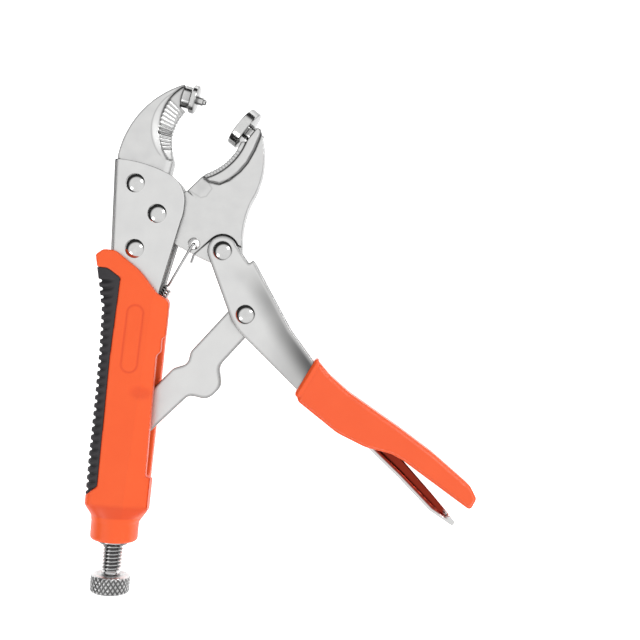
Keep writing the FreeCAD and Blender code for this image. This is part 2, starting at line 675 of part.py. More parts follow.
# ---------------------------------------------------------------- jaw spring
def jaw_spring():
    """Close-wound tension spring from the jaw's hole to the tab in the handle."""
    side = SPRING_RUN.cross(UP).normalize()
    pitch = 2 * SPRING_WIRE_R
    mean = SPRING_COIL_R - SPRING_WIRE_R
    edges = []
    for i in range(SPRING_TURNS):
        a = SPRING_COIL_TOP + SPRING_RUN * (i * pitch)
        outer = [a + SPRING_RUN * (pitch * k / 2) for k in (0, 1, 2)]
        edges.append(Part.Arc(outer[0] + side * mean, outer[1] + side * SPRING_COIL_R,
                              outer[2] + side * mean).toShape())
    inner = mean - SPRING_WIRE_R * 0.8
    corners = [SPRING_COIL_END + side * mean, SPRING_COIL_END + side * inner,
               SPRING_COIL_TOP + side * inner, SPRING_COIL_TOP + side * mean]
    edges += [Part.LineSegment(corners[i], corners[i + 1]).toShape() for i in range(3)]
    coil = Part.Face(Part.Wire(Part.__sortEdges__(edges))).revolve(SPRING_COIL_TOP, SPRING_RUN, 360)
    over = MOVING_HALF + SPRING_WIRE_R + 0.2
    hole = SPRING_HOLE
    stub = V(-0.24, -0.97, 0)
    upper = wire_rod([
        SPRING_COIL_TOP + side * mean + SPRING_RUN * SPRING_WIRE_R,
        SPRING_COIL_TOP - SPRING_RUN * 1.2,
        hole + SPRING_RUN * 5.0 + V(0, 0, over), hole + V(0, 0, over), hole - V(0, 0, over),
        hole - V(0, 0, over) + stub * 9.0,
    ], SPRING_WIRE_R)
    low = ANCHOR_THICK / 2 + SPRING_WIRE_R + 0.2
    lower = wire_rod([
        SPRING_COIL_END + side * mean - SPRING_RUN * SPRING_WIRE_R,
        SPRING_COIL_END + SPRING_RUN * 1.2,
        ANCHOR_HOLE - SPRING_RUN * 3.4 + V(0, 0, low), ANCHOR_HOLE + V(0, 0, low),
        ANCHOR_HOLE - V(0, 0, low), ANCHOR_HOLE - V(0, 0, low) - SPRING_RUN * 3.4,
    ], SPRING_WIRE_R)
    return coil.fuse([upper, lower]).removeSplitter()


# ---------------------------------------------------------------- lever
WEB_LINE = [(56.9, -18.3), (77.6, -50.3), (96.5, -72.3), (133.0, -94.9), (161.5, -114.4)]


def lever_outline():
    """Side view of the folded lever channel below its round top."""
    p = LEVER_PIVOT
    return [
        (p.x - 6.6, p.y - 3.1), (50.0, -51.0, 28), (83.2, -79.0, 20), (90.0, -85.5, 8), (104.0, -95.3, 20),
        (121.0, -101.2, 20), (131.5, -103.8, 15), (158.5, -119.6, 1.0), WEB_LINE[4], WEB_LINE[3],
        WEB_LINE[2], WEB_LINE[1], WEB_LINE[0], (54.6, -20.2, 0.8), (p.x + 6.2, p.y + 3.6),
    ]


def lever_cavity():
    """Space between the lever's plates: everything on the open side of its web."""
    inner = shifted(WEB_LINE, LEVER_SHEET)
    return inner + [(161.0, -119.0), (150.0, -145.0), (10.0, -145.0), (10.0, 10.0), (50.0, 10.0)]


def lever_channel():
    """Folded sheet lever with three pin holes."""
    top = upright(LEVER_PIVOT, LEVER_TOP_R, -LEVER_HALF, LEVER_HALF)
    body = plate(lever_outline(), LEVER_HALF).fuse(top)
    body = body.removeSplitter().cut(plate(lever_cavity(), LEVER_GAP_HALF))
    return body.cut([
        upright(LEVER_PIVOT, PIVOT_SHANK_R + PRESSED_CLEARANCE, -THROUGH, THROUGH),
        upright(LINK_PIVOT, PIVOT_SHANK_R + PRESSED_CLEARANCE, -THROUGH, THROUGH),
        upright(RELEASE_PIVOT, RELEASE_PIN_R + PRESSED_CLEARANCE, -THROUGH, THROUGH),
    ])


def lever_grip_outline():
    """Side view of the dipped sleeve."""
    return [
        (82.4, -80.2, 1.0), (91.0, -62.9, 1.0), (98.0, -70.2, 20), (108.3, -78.0, 30),
        (133.9, -92.9, 60), (151.6, -104.0, 60), (170.0, -117.6, 5), (173.6, -123.6, 2.5),
        (170.9, -129.4, 1.5), (151.1, -117.2, 60), (137.3, -108.6, 20), (131.0, -105.6, 15),
        (118.0, -103.4, 15), (104.0, -97.8, 20), (84.2, -84.4, 2),
    ]


def lever_grip():
    """Dipped sleeve over the lever, open along the side that the release lever comes out of."""
    face = Part.Face(outline(lever_grip_outline())).makeOffset2D(-LEVER_GRIP_EDGE)
    face.translate(V(0, 0, -LEVER_GRIP_HALF))
    body = plate(lever_grip_outline(), LEVER_GRIP_HALF - LEVER_GRIP_EDGE)
    body = body.fuse(face.extrude(V(0, 0, LEVER_GRIP_THICK)))
    body = body.cut(plate(lever_outline(), LEVER_HALF))
    return body.cut(plate(lever_cavity(), LEVER_GAP_HALF))


def release_pin():
    """Pin of the release lever, under the sleeve."""
    return upright(RELEASE_PIVOT, RELEASE_PIN_R, -LEVER_HALF, LEVER_HALF)


RELEASE_BACK = [
    (87.0, -78.2), (98.0, -91.0), (112.0, -98.6), (118.9, -103.5), (135.8, -117.4), (152.0, -131.8),
    (163.4, -138.2),
]


def release_lever():
    """Pressed release lever: a deep channel in the lever, a shallow trough beyond it."""
    tail_top = [
        (164.9, -136.4, 1.0), (153.3, -124.7), (136.6, -108.5), (124.0, -97.6), (112.0, -86.2),
        (104.0, -81.6), (90.0, -73.6, 2.0),
    ]
    body = plate(RELEASE_BACK + tail_top, RELEASE_HALF)
    web = shifted(RELEASE_BACK, -RELEASE_SHEET)
    hollow = plate(web[1:-1] + [(160.4, -134.6), (175.0, -130.0), (150.0, -80.0), (96.0, -70.0)],
                   RELEASE_HALF - RELEASE_SHEET)
    lip = shifted(RELEASE_BACK, -RELEASE_SHEET - RELEASE_LIP)
    near_side = slab(lip[3:-1] + [(159.0, -134.2), (175.0, -130.0), (150.0, -85.0), (130.0, -85.0)],
                     RELEASE_HALF - RELEASE_SHEET - 1, RELEASE_HALF + 1)
    body = body.cut(hollow).cut(near_side)
    return body.cut(upright(RELEASE_PIVOT, RELEASE_PIN_R + RUNNING_CLEARANCE, -THROUGH, THROUGH))


# ---------------------------------------------------------------- toggle link
def toggle_link():
    """Link from the lever to the adjusting screw, with the lobe that the release lever pushes."""
    along = (NOSE_PIVOT - LINK_PIVOT).normalize()
    length = (NOSE_PIVOT - LINK_PIVOT).Length
    side = V(along.y, -along.x, 0)
    sketch = [
        (0.0, 7.35), (31.5, 7.2, 4), (36.8, 4.2, 4), (43.0, 7.8, 4), (66.0, 8.8, 15), (length, NOSE_R),
        (length, -NOSE_R), (72.0, -4.8, 30), (47.5, -6.4, 5), (42.9, -14.8, 6), (33.6, -15.2, 6),
        (27.4, -7.5, 6), (0.0, -7.35),
    ]
    corners = []
    for item in sketch:
        point = LINK_PIVOT + along * item[0] + side * item[1]
        corners.append((point.x, point.y) + tuple(item[2:]))
    half = LINK_THICK / 2
    body = plate(corners, half).fuse([
        upright(LINK_PIVOT, LINK_HUB_R, -half, half), upright(NOSE_PIVOT, NOSE_R, -half, half),
    ])
    boss = upright(LINK_PIVOT, LINK_HUB_R - 0.6, -TAIL_HALF, TAIL_HALF)
    body = body.fuse(boss).removeSplitter()
    return body.cut(upright(LINK_PIVOT, PIVOT_SHANK_R + RUNNING_CLEARANCE, -THROUGH, THROUGH))


# ---------------------------------------------------------------- the whole tool
CHANNEL = handle_channel()
SHAPES = {
    "handle_channel": CHANNEL,
    "fixed_jaw": fixed_jaw(),
    "upper_jaw_rivet": dome_rivet(UPPER_RIVET, HANDLE_HALF, RIVET_SHANK_R),
    "lower_jaw_rivet": dome_rivet(LOWER_RIVET, HANDLE_HALF, RIVET_SHANK_R),
    "jaw_pivot_rivet": dome_rivet(JAW_PIVOT, HANDLE_HALF, PIVOT_SHANK_R),
    "punch_holder": punch_holder(),
    "flaring_punch": flaring_punch(),
    "grip_shell": grip_shell(),
    "grip_insert": grip_insert(),
    "screw_nut": screw_nut(),
    "adjusting_screw": adjusting_screw(),
    "adjusting_knob": adjusting_knob(),
    "jaw_spring": jaw_spring(),
    "moving_jaw": moving_jaw(),
    "cup_die": cup_die(),
    "cup_die_stud": cup_die_stud(),
    "lever_channel": lever_channel(),
    "lever_pivot_rivet": dome_rivet(LEVER_PIVOT, LEVER_HALF, PIVOT_SHANK_R),
    "link_pivot_rivet": dome_rivet(LINK_PIVOT, LEVER_HALF, PIVOT_SHANK_R),
    "lever_grip": lever_grip(),
    "release_pin": release_pin(),
    "release_lever": release_lever(),
    "toggle_link": toggle_link(),
}

BOX = FreeCAD.BoundBox()
for shape in SHAPES.values():
    BOX.add(shape.optimalBoundingBox())
ORIGIN = V(BOX.Center.x, BOX.Center.y, BOX.ZMin)

os.makedirs("parts", exist_ok=True)
for name, shape in SHAPES.items():
    placed = shape.translated(ORIGIN * -1)
    placed.exportStep("parts/" + name + ".step")
    facts = (name, len(placed.Solids), placed.isValid(), placed.Volume)
    print("%-18s solids %d  valid %s  volume %9.1f" % facts)
print("box %.1f x %.1f x %.1f" % (BOX.XLength, BOX.YLength, BOX.ZLength))
print("turns to the lock: jaw %.2f, lever %.2f, link %.2f" % (LOCK_JAW, LOCK_LEVER, LOCK_LINK))
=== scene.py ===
"""The looks of a pair of locking snap setter pliers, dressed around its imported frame.

The tool lies on its side with the jaws open. Every size here is in drawing millimetres unless its
name says otherwise: X = 0 is the adjusting screw's axis, Y = 0 the jaw pivot, Z = 0 the mid-plane of
the plates. The Drawing class turns those into metres in the row frame.
"""

import json
import logging
import math
from dataclasses import dataclass, field, replace
from enum import Enum
from typing import Callable, Sequence

import bmesh
import bpy
from mathutils import Matrix, Vector

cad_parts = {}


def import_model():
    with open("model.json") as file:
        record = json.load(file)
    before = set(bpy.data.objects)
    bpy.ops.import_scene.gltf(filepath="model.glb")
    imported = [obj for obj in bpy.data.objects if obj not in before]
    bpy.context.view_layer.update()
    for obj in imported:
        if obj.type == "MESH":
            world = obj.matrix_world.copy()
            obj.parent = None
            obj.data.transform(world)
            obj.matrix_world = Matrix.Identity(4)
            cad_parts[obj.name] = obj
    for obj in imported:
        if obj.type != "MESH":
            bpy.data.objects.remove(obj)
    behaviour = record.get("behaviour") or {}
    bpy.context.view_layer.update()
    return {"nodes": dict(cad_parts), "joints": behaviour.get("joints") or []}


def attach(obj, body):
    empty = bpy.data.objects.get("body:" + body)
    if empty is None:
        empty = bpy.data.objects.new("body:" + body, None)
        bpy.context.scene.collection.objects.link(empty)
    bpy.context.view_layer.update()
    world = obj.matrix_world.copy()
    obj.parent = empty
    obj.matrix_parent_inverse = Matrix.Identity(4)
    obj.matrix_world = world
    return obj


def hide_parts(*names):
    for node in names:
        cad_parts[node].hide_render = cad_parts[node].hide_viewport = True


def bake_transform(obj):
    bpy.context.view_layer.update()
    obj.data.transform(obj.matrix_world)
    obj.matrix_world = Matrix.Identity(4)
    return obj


LOG = logging.getLogger("snap_setter_pliers")
MM = 0.001
TAU = 2 * math.pi

JAW_PIVOT = (8.9, 0.0)  # the moving jaw's pivot on the drawing
MERGE_GAP = 2e-6  # points closer than this, in metres, are one
SHARP_DEGREES = 32.0  # edges sharper than this are rounded
CLAMPED_WIDTH = 0.2  # roundings narrower than this, in mm, are kept from overlapping
CUT_EDGE_TILT = 0.80  # a face whose normal rises less than this is a cut edge
RIM_TILT = (0.93, 0.60)  # painted shade along the cut edges starts and is full where normals rise this much
RIM_FADE = 0.72  # what the painted shade along the cut edges keeps from one ring of points to the next


# ---------------------------------------------------------------- the drawing and the bench
@dataclass(frozen=True)
class Drawing:
    """Places drawing points in the row frame.

    Args:
        origin: The drawing's origin in the row frame, in metres.
    """

    origin: Vector

    @classmethod
    def from_frame(cls, joints: Sequence[dict], pivot_x: float) -> "Drawing":
        """Finds the drawing's origin from the jaw pivot.

        Args:
            joints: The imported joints.
            pivot_x: X of the jaw pivot in the drawing.

        Returns:
            The drawing of this tool.
        """
        pivot = next(joint["pos_m"] for joint in joints if joint["name"] == "jaw_swing")
        return cls(Vector(pivot) - Vector((pivot_x * MM, 0.0, 0.0)))

    def at(self, x: float, y: float, z: float = 0.0) -> Vector:
        """Gives a drawing point in metres in the row frame."""
        return self.origin + Vector((x, y, z)) * MM

    def back(self, point: Vector) -> Vector:
        """Gives a row frame point in drawing millimetres."""
        return (point - self.origin) / MM


class Bench:
    """The modelling steps that every piece goes through."""

    @staticmethod
    def clear() -> None:
        """Leaves nothing selected, in object mode."""
        if bpy.context.object is not None and bpy.context.object.mode != "OBJECT":
            bpy.ops.object.mode_set(mode="OBJECT")
        bpy.ops.object.select_all(action="DESELECT")

    @classmethod
    def take(cls, piece: bpy.types.Object) -> None:
        """Selects one piece and nothing else.

        Args:
            piece: The piece to select and make active.
        """
        cls.clear()
        piece.select_set(True)
        bpy.context.view_layer.objects.active = piece

    @classmethod
    def name(cls, name: str) -> bpy.types.Object:
        """Names the newest piece and sets its place into its mesh.

        Args:
            name: The new name of the piece and of its mesh.

        Returns:
            The piece.
        """
        piece = bpy.context.object
        piece.name = name
        piece.data.name = name
        bpy.ops.object.transform_apply(location=True, rotation=True, scale=True)
        return piece

    @classmethod
    def modify(cls, piece: bpy.types.Object, kind: str, **settings: object) -> None:
        """Adds one modifier and applies it.

        Args:
            piece: The piece to change.
            kind: The modifier's type.
            **settings: The modifier's values.
        """
        modifier = piece.modifiers.new(kind.lower(), kind)
        for key, value in settings.items():
            setattr(modifier, key, value)
        cls.take(piece)
        bpy.ops.object.modifier_apply(modifier=modifier.name)

    @classmethod
    def smooth(cls, piece: bpy.types.Object, degrees: float = 35.0) -> None:
        """Shades a piece smooth where its faces meet at less than an angle."""
        cls.take(piece)
        bpy.ops.object.shade_smooth_by_angle(angle=math.radians(degrees))

    @classmethod
    def keep_flats(cls, piece: bpy.types.Object) -> None:
        """Shades large flat faces as flat, with the bend left to the edge rounding."""
        cls.modify(piece, "WEIGHTED_NORMAL", mode="FACE_AREA", weight=100, keep_sharp=True)

    @classmethod
    def tidy(cls, piece: bpy.types.Object) -> None:
        """Merges doubles and turns every face outwards.

        Args:
            piece: The piece to change.
        """
        cls.take(piece)
        bpy.ops.object.mode_set(mode="EDIT")
        bpy.ops.mesh.select_all(action="SELECT")
        bpy.ops.mesh.remove_doubles(threshold=MERGE_GAP / 2)
        bpy.ops.mesh.normals_make_consistent(inside=False)
        bpy.ops.object.mode_set(mode="OBJECT")

    @classmethod
    def copy_of(cls, node: bpy.types.Object, name: str, flat_degrees: float = 0.4) -> bpy.types.Object:
        """Makes a merged copy of a frame node, with its flat faces made whole.

        Args:
            node: The frame's node.
            name: The new piece's name.
            flat_degrees: Faces that meet at less than this become one.

        Returns:
            The copy, in place.
        """
        piece = bpy.data.objects.new(name, node.data.copy())
        piece.data.name = name
        piece.data.materials.clear()
        bpy.context.scene.collection.objects.link(piece)
        cls.take(piece)
        bpy.ops.mesh.customdata_custom_splitnormals_clear()
        bpy.ops.object.mode_set(mode="EDIT")
        bpy.ops.mesh.select_all(action="SELECT")
        bpy.ops.mesh.remove_doubles(threshold=MERGE_GAP)
        bpy.ops.mesh.dissolve_limited(angle_limit=math.radians(flat_degrees))
        bpy.ops.object.mode_set(mode="OBJECT")
        return piece

    @classmethod
    def round_edges(cls, piece: bpy.types.Object, width: float) -> None:
        """Rounds every sharp edge of a piece with two facets.

        Args:
            piece: The piece to change.
            width: How far the rounding reaches from the edge, in millimetres.
        """
        cls.modify(
            piece, "BEVEL", width=width * MM, segments=2, limit_method="ANGLE",
            angle_limit=math.radians(SHARP_DEGREES), use_clamp_overlap=width < CLAMPED_WIDTH,
            miter_outer="MITER_ARC",
        )

    @classmethod
    def lathe(
        cls, name: str, profile: Sequence[tuple[float, float]], start: Vector, axis: Vector, sides: int = 64
    ) -> bpy.types.Object:
        """Turns a closed round piece by extruding and scaling a disc along its axis.

        Args:
            name: The piece's name.
            profile: (along, radius) steps in millimetres, from end to end.
            start: Where along = 0 lies, in metres.
            axis: The direction of along.
            sides: Facets round the axis.

        Returns:
            The turned piece.
        """
        cls.clear()
        along, radius = profile[0]
        bpy.ops.mesh.primitive_circle_add(
            vertices=sides, radius=radius * MM, fill_type="NGON", location=(0, 0, along * MM)
        )
        piece = cls.name(name)
        bpy.ops.object.mode_set(mode="EDIT")
        bpy.ops.mesh.select_all(action="SELECT")
        for next_along, next_radius in profile[1:]:
            bpy.ops.mesh.extrude_region_move(
                TRANSFORM_OT_translate={"value": (0, 0, (next_along - along) * MM)}
            )
            scale = next_radius / radius
            bpy.ops.transform.resize(value=(scale, scale, 1.0), center_override=(0, 0, 0))
            along, radius = next_along, next_radius
        bpy.ops.mesh.select_all(action="SELECT")
        bpy.ops.mesh.normals_make_consistent(inside=False)
        bpy.ops.object.mode_set(mode="OBJECT")
        turn = axis.normalized().to_track_quat("Z", "Y").to_matrix().to_4x4()
        piece.data.transform(Matrix.Translation(start) @ turn)
        return piece

    @classmethod
    def wire(cls, name: str, points: Sequence[Vector], radius: float) -> bpy.types.Object:
        """Bends a round wire along points and makes it a closed mesh.

        Args:
            name: The piece's name.
            points: The wire's centre line, in metres.
            radius: The wire's radius in millimetres.

        Returns:
            The wire as a mesh.
        """
        line = bpy.data.curves.new(name, "CURVE")
        line.dimensions = "3D"
        line.bevel_depth = radius * MM
        line.bevel_resolution = 3
        line.use_fill_caps = True
        spline = line.splines.new("POLY")
        spline.points.add(len(points) - 1)
        for place, point in zip(spline.points, points):
            place.co = (*point, 1.0)
        piece = bpy.data.objects.new(name, line)
        bpy.context.scene.collection.objects.link(piece)
        cls.take(piece)
        bpy.ops.object.convert(target="MESH")
        cls.tidy(bpy.context.object)
        return bpy.context.object

    @staticmethod
    def paint(
        piece: bpy.types.Object, amount: Callable[[Vector, Vector], float], fine: bool = False
    ) -> None:
        """Writes the attribute that holds a piece's painted shade and, on the release lever, its painted
        reflection.

        Args:
            piece: The piece to paint.
            amount: Gives the painted shade, and for the release lever the painted reflection, from a place
                and its outward direction.
            fine: Paints every point of a finely meshed piece, and otherwise every face.
        """
        mesh = piece.data
        stain = mesh.attributes.new("stain", "FLOAT", "POINT" if fine else "FACE")
        if fine:
            values = [amount(vert.co, vert.normal) for vert in mesh.vertices]
        else:
            values = [amount(face.center, face.normal) for face in mesh.polygons]
        stain.data.foreach_set("value", values)

    @staticmethod
    def rim(piece: bpy.types.Object, rings: int, strength: float = 0.85) -> None:
        """Paints shade along the cut edges of a finely meshed, painted piece, where its sides turn from the
        light.

        Args:
            piece: The piece, already painted.
            rings: How many rings of points the painted shade reaches over onto the flat faces.
            strength: Painted shade on the cut edges; it fades over the rings.
        """
        mesh = piece.data
        edge = [ease(abs(vert.normal.z), *RIM_TILT) for vert in mesh.vertices]
        for _ring in range(rings):
            spread = list(edge)
            for line in mesh.edges:
                first, last = line.vertices
                spread[first] = max(spread[first], RIM_FADE * edge[last])
                spread[last] = max(spread[last], RIM_FADE * edge[first])
            edge = spread
        stain = mesh.attributes["stain"].data
        for index, amount in enumerate(edge):
            stain[index].value = max(stain[index].value, strength * amount)

    @staticmethod
    def sculpt(piece: bpy.types.Object, move: Callable[[Vector, Vector], Vector]) -> None:
        """Moves every point of a piece by a rule.

        Args:
            piece: The piece to change.
            move: Gives a point's new place from its place and its outward direction.
        """
        shape = bmesh.new()
        shape.from_mesh(piece.data)
        places = [(vert, move(vert.co.copy(), vert.normal.copy())) for vert in shape.verts]
        for vert, place in places:
            vert.co = place
        shape.to_mesh(piece.data)
        shape.free()
        piece.data.update()


def ease(value: float, low: float, high: float) -> float:
    """Climbs smoothly from 0 at low to 1 at high.

    Args:
        value: Where to read the climb.
        low: Its foot; it may lie above high, and then the climb runs the other way.
        high: Its top.

    Returns:
        A number from 0 to 1.
    """
    share = min(max((value - low) / (high - low), 0.0), 1.0)
    return share * share * (3.0 - 2.0 * share)


def ridge(value: float, middle: float, width: float) -> float:
    """Gives a smooth bump of height 1, about width wide."""
    return math.exp(-(((value - middle) / (0.5 * width)) ** 2))


def from_segment(x: float, y: float, start: tuple[float, float], end: tuple[float, float]) -> float:
    """Gives a point's distance from a straight stretch.

    Args:
        x: Across the handle.
        y: Along the handle.
        start: One end of the stretch.
        end: Its other end.

    Returns:
        The distance in millimetres.
    """
    run = Vector(end) - Vector(start)
    offset = Vector((x, y)) - Vector(start)
    share = min(max(offset.dot(run) / run.length_squared, 0.0), 1.0)
    return (offset - run * share).length


def from_path(x: float, y: float, points: Sequence[tuple[float, float]]) -> float:
    """Gives a point's distance from a path of straight stretches, in millimetres."""
    return min(from_segment(x, y, start, end) for start, end in zip(points, points[1:]))


def soft_corners(points: Sequence[Vector], radius: float, steps: int = 6) -> list[Vector]:
    """Rounds the corners of a path.

    Args:
        points: The path's corners, in metres.
        radius: How far from a corner its rounding starts, in metres.
        steps: Points along each rounding.

    Returns:
        The rounded path.
    """
    path = [points[0]]
    for before, corner, after in zip(points, points[1:], points[2:]):
        reach = min(radius, (before - corner).length / 2, (after - corner).length / 2)
        first = corner + (before - corner).normalized() * reach
        last = corner + (after - corner).normalized() * reach
        for step in range(steps + 1):
            share = step / steps
            path.append(first.lerp(corner, share).lerp(corner.lerp(last, share), share))
    return path + [points[-1]]


@dataclass(frozen=True)
class Line:
    """A dark line of painted shade on a face, where a groove or gap lies in shadow.

    Args:
        width: About its width, in millimetres.
        strength: Painted shade in its middle.
    """

    width: float
    strength: float

    def stain(self, away: float) -> float:
        """Gives the painted shade that far from the line's middle."""
        return self.strength * ridge(away, 0.0, self.width)


@dataclass(frozen=True)
class Fade:
    """Painted shade that grows from one reading to another, such as a distance or a tilt; taken away from
    other shade it paints a highlight.

    Args:
        strength: Painted shade where it is full.
        start: The reading where it starts.
        full: The reading where it is full.
    """

    strength: float
    start: float
    full: float

    def stain(self, reading: float) -> float:
        """Gives the painted shade at a reading."""
        return self.strength * ease(reading, self.start, self.full)


CUT_EDGE_SHADE = Fade(0.85, CUT_EDGE_TILT, 0.45)


# ---------------------------------------------------------------- finishes
class Grain(Enum):
    """How the fine marks of a finish run."""

    SPECKLED = (1.0, 1.0, 1.0)
    BRUSHED_ALONG = (1.0, 0.06, 1.0)


@dataclass(frozen=True)
class Finish:
    """A surface finish worked out by nodes from the piece's own coordinates.

    Args:
        name: The material's name.
        colour: Its main colour, linear.
        shade: The colour that patches drift towards.
        metal: 1 for metal, 0 for plastic.
        roughness: The smoothest and the roughest patches.
        grain_size: Size of the fine marks, in millimetres.
        grain_depth: Depth of the fine marks, in millimetres.
        patch_size: Size of the patches of colour and gloss, in millimetres.
        grain: The way the marks run.
        coat: Strength of a clear gloss over it.
        soft: How much light goes under the skin.
        shine: Strength of the skin's reflection, 0.5 for plain plastic.
        rings: Centre in metres and axis of turning marks, for turned pieces.
        stain: Colour where the piece's attribute of that name is 1: painted shade, and on the release lever
            a painted reflection of the sleeve.
    """

    name: str
    colour: tuple[float, float, float]
    shade: tuple[float, float, float]
    metal: float
    roughness: tuple[float, float]
    grain_size: float
    grain_depth: float
    patch_size: float
    grain: Grain = Grain.SPECKLED
    coat: float = 0.0
    soft: float = 0.0
    shine: float = 0.5
    rings: tuple[Vector, Vector] | None = None
    stain: tuple[float, float, float] | None = None

    def material(self) -> bpy.types.Material:
        """Builds the material.

        Returns:
            A new material with this finish.
        """
        material = bpy.data.materials.new(self.name)
        material.use_nodes = True
        nodes, links = material.node_tree.nodes, material.node_tree.links
        shader = nodes["Principled BSDF"]
        shader.inputs["Metallic"].default_value = self.metal
        shader.inputs["Specular IOR Level"].default_value = self.shine
        shader.inputs["Coat Weight"].default_value = self.coat
        shader.inputs["Coat Roughness"].default_value = 0.12
        shader.inputs["Subsurface Weight"].default_value = self.soft
        shader.inputs["Subsurface Radius"].default_value = (0.002, 0.0008, 0.0004)
        place = nodes.new("ShaderNodeTexCoord")
        patches = nodes.new("ShaderNodeTexNoise")
        patches.inputs["Scale"].default_value = 1.0 / (self.patch_size * MM)
        patches.inputs["Detail"].default_value = 4.0
        links.new(place.outputs["Object"], patches.inputs["Vector"])
        drift = nodes.new("ShaderNodeMix")
        drift.data_type = "RGBA"
        drift.inputs["A"].default_value = (*self.colour, 1.0)
        drift.inputs["B"].default_value = (*self.shade, 1.0)
        links.new(patches.outputs["Fac"], drift.inputs["Factor"])
        links.new(drift.outputs["Result"], shader.inputs["Base Color"])
        gloss = nodes.new("ShaderNodeMapRange")
        gloss.inputs["From Min"].default_value = 0.3
        gloss.inputs["From Max"].default_value = 0.7
        gloss.inputs["To Min"].default_value = self.roughness[0]
        gloss.inputs["To Max"].default_value = self.roughness[1]
        links.new(patches.outputs["Fac"], gloss.inputs["Value"])
        links.new(gloss.outputs["Result"], shader.inputs["Roughness"])
        run = nodes.new("ShaderNodeMapping")
        run.inputs["Scale"].default_value = self.grain.value
        links.new(place.outputs["Object"], run.inputs["Vector"])
        marks = nodes.new("ShaderNodeTexNoise")
        marks.inputs["Scale"].default_value = 1.0 / (self.grain_size * MM)
        marks.inputs["Detail"].default_value = 3.0
        links.new(run.outputs["Vector"], marks.inputs["Vector"])
        relief = nodes.new("ShaderNodeBump")
        relief.inputs["Strength"].default_value = 1.0
        relief.inputs["Distance"].default_value = self.grain_depth * MM
        links.new(marks.outputs["Fac"], relief.inputs["Height"])
        links.new(relief.outputs["Normal"], shader.inputs["Normal"])
        if self.rings is not None:
            self._turning_marks(material, place, relief)
        if self.stain is not None:
            self._painted_light_over(material, drift)
        return material

    def _painted_light_over(self, material: bpy.types.Material, drift: bpy.types.Node) -> None:
        """Mixes the painted shade over the colour where the attribute says so; on the release lever it is a
        painted reflection of the sleeve.

        Args:
            material: The material being built.
            drift: The node that gives its colour.
        """
        nodes, links = material.node_tree.nodes, material.node_tree.links
        amount = nodes.new("ShaderNodeAttribute")
        amount.attribute_name = "stain"
        over = nodes.new("ShaderNodeMix")
        over.data_type = "RGBA"
        over.inputs["B"].default_value = (*self.stain, 1.0)
        links.new(amount.outputs["Fac"], over.inputs["Factor"])
        links.new(drift.outputs["Result"], over.inputs["A"])
        links.new(over.outputs["Result"], nodes["Principled BSDF"].inputs["Base Color"])

    def _turning_marks(
        self, material: bpy.types.Material, place: bpy.types.Node, relief: bpy.types.Node
    ) -> None:
        """Adds fine rings about an axis under the grain.

        Args:
            material: The material being built.
            place: Its coordinates node.
            relief: The bump that the rings go under.
        """
        nodes, links = material.node_tree.nodes, material.node_tree.links
        centre, axis = self.rings
        turn = axis.normalized().to_track_quat("Z", "Y").to_matrix()
        seat = nodes.new("ShaderNodeMapping")
        seat.vector_type = "POINT"
        seat.inputs["Rotation"].default_value = turn.transposed().to_euler()
        seat.inputs["Location"].default_value = -(turn.transposed() @ centre)
        links.new(place.outputs["Object"], seat.inputs["Vector"])
        rings = nodes.new("ShaderNodeTexWave")
        rings.wave_type = "RINGS"
        rings.rings_direction = "Z"
        rings.inputs["Scale"].default_value = 0.3 / (self.grain_size * MM)
        rings.inputs["Distortion"].default_value = 0.6
        rings.inputs["Detail"].default_value = 2.0
        links.new(seat.outputs["Vector"], rings.inputs["Vector"])
        cut = nodes.new("ShaderNodeBump")
        cut.inputs["Strength"].default_value = 0.5
        cut.inputs["Distance"].default_value = self.grain_depth * MM * 2
        links.new(rings.outputs["Fac"], cut.inputs["Height"])
        links.new(cut.outputs["Normal"], relief.inputs["Normal"])


# The darker keyword colour at the end of a finish below, where one is given, is painted shade on edges,
# grooves and slopes turned from the light.
SATIN_PLATE = Finish(
    "satin_plate", (0.73, 0.73, 0.72), (0.65, 0.65, 0.65), 1.0, (0.30, 0.42), 0.45, 0.030, 9.0,
    stain=(0.13, 0.13, 0.13),
)
FORGED_STEEL = Finish(
    "forged_steel", (0.71, 0.71, 0.70), (0.62, 0.62, 0.62), 1.0, (0.28, 0.42), 0.5, 0.034, 6.0,
    stain=(0.22, 0.22, 0.22),
)
BRIGHT_STEEL = Finish(
    "bright_steel", (0.70, 0.70, 0.69), (0.56, 0.56, 0.56), 1.0, (0.10, 0.18), 0.4, 0.002, 3.0
)
TURNED_STEEL = replace(BRIGHT_STEEL, name="turned_steel", stain=(0.10, 0.10, 0.10))
RIVET_STEEL = replace(BRIGHT_STEEL, name="rivet_steel", roughness=(0.08, 0.14), grain_depth=0.001)
THREADED_STEEL = replace(
    BRIGHT_STEEL, name="threaded_steel", colour=(0.66, 0.66, 0.66), shade=(0.55, 0.55, 0.55),
    roughness=(0.16, 0.26), stain=(0.05, 0.05, 0.05),
)
KNURLED_STEEL = replace(
    BRIGHT_STEEL, name="knurled_steel", colour=(0.60, 0.60, 0.60), shade=(0.48, 0.48, 0.48),
    roughness=(0.26, 0.36), stain=(0.05, 0.05, 0.05),
)
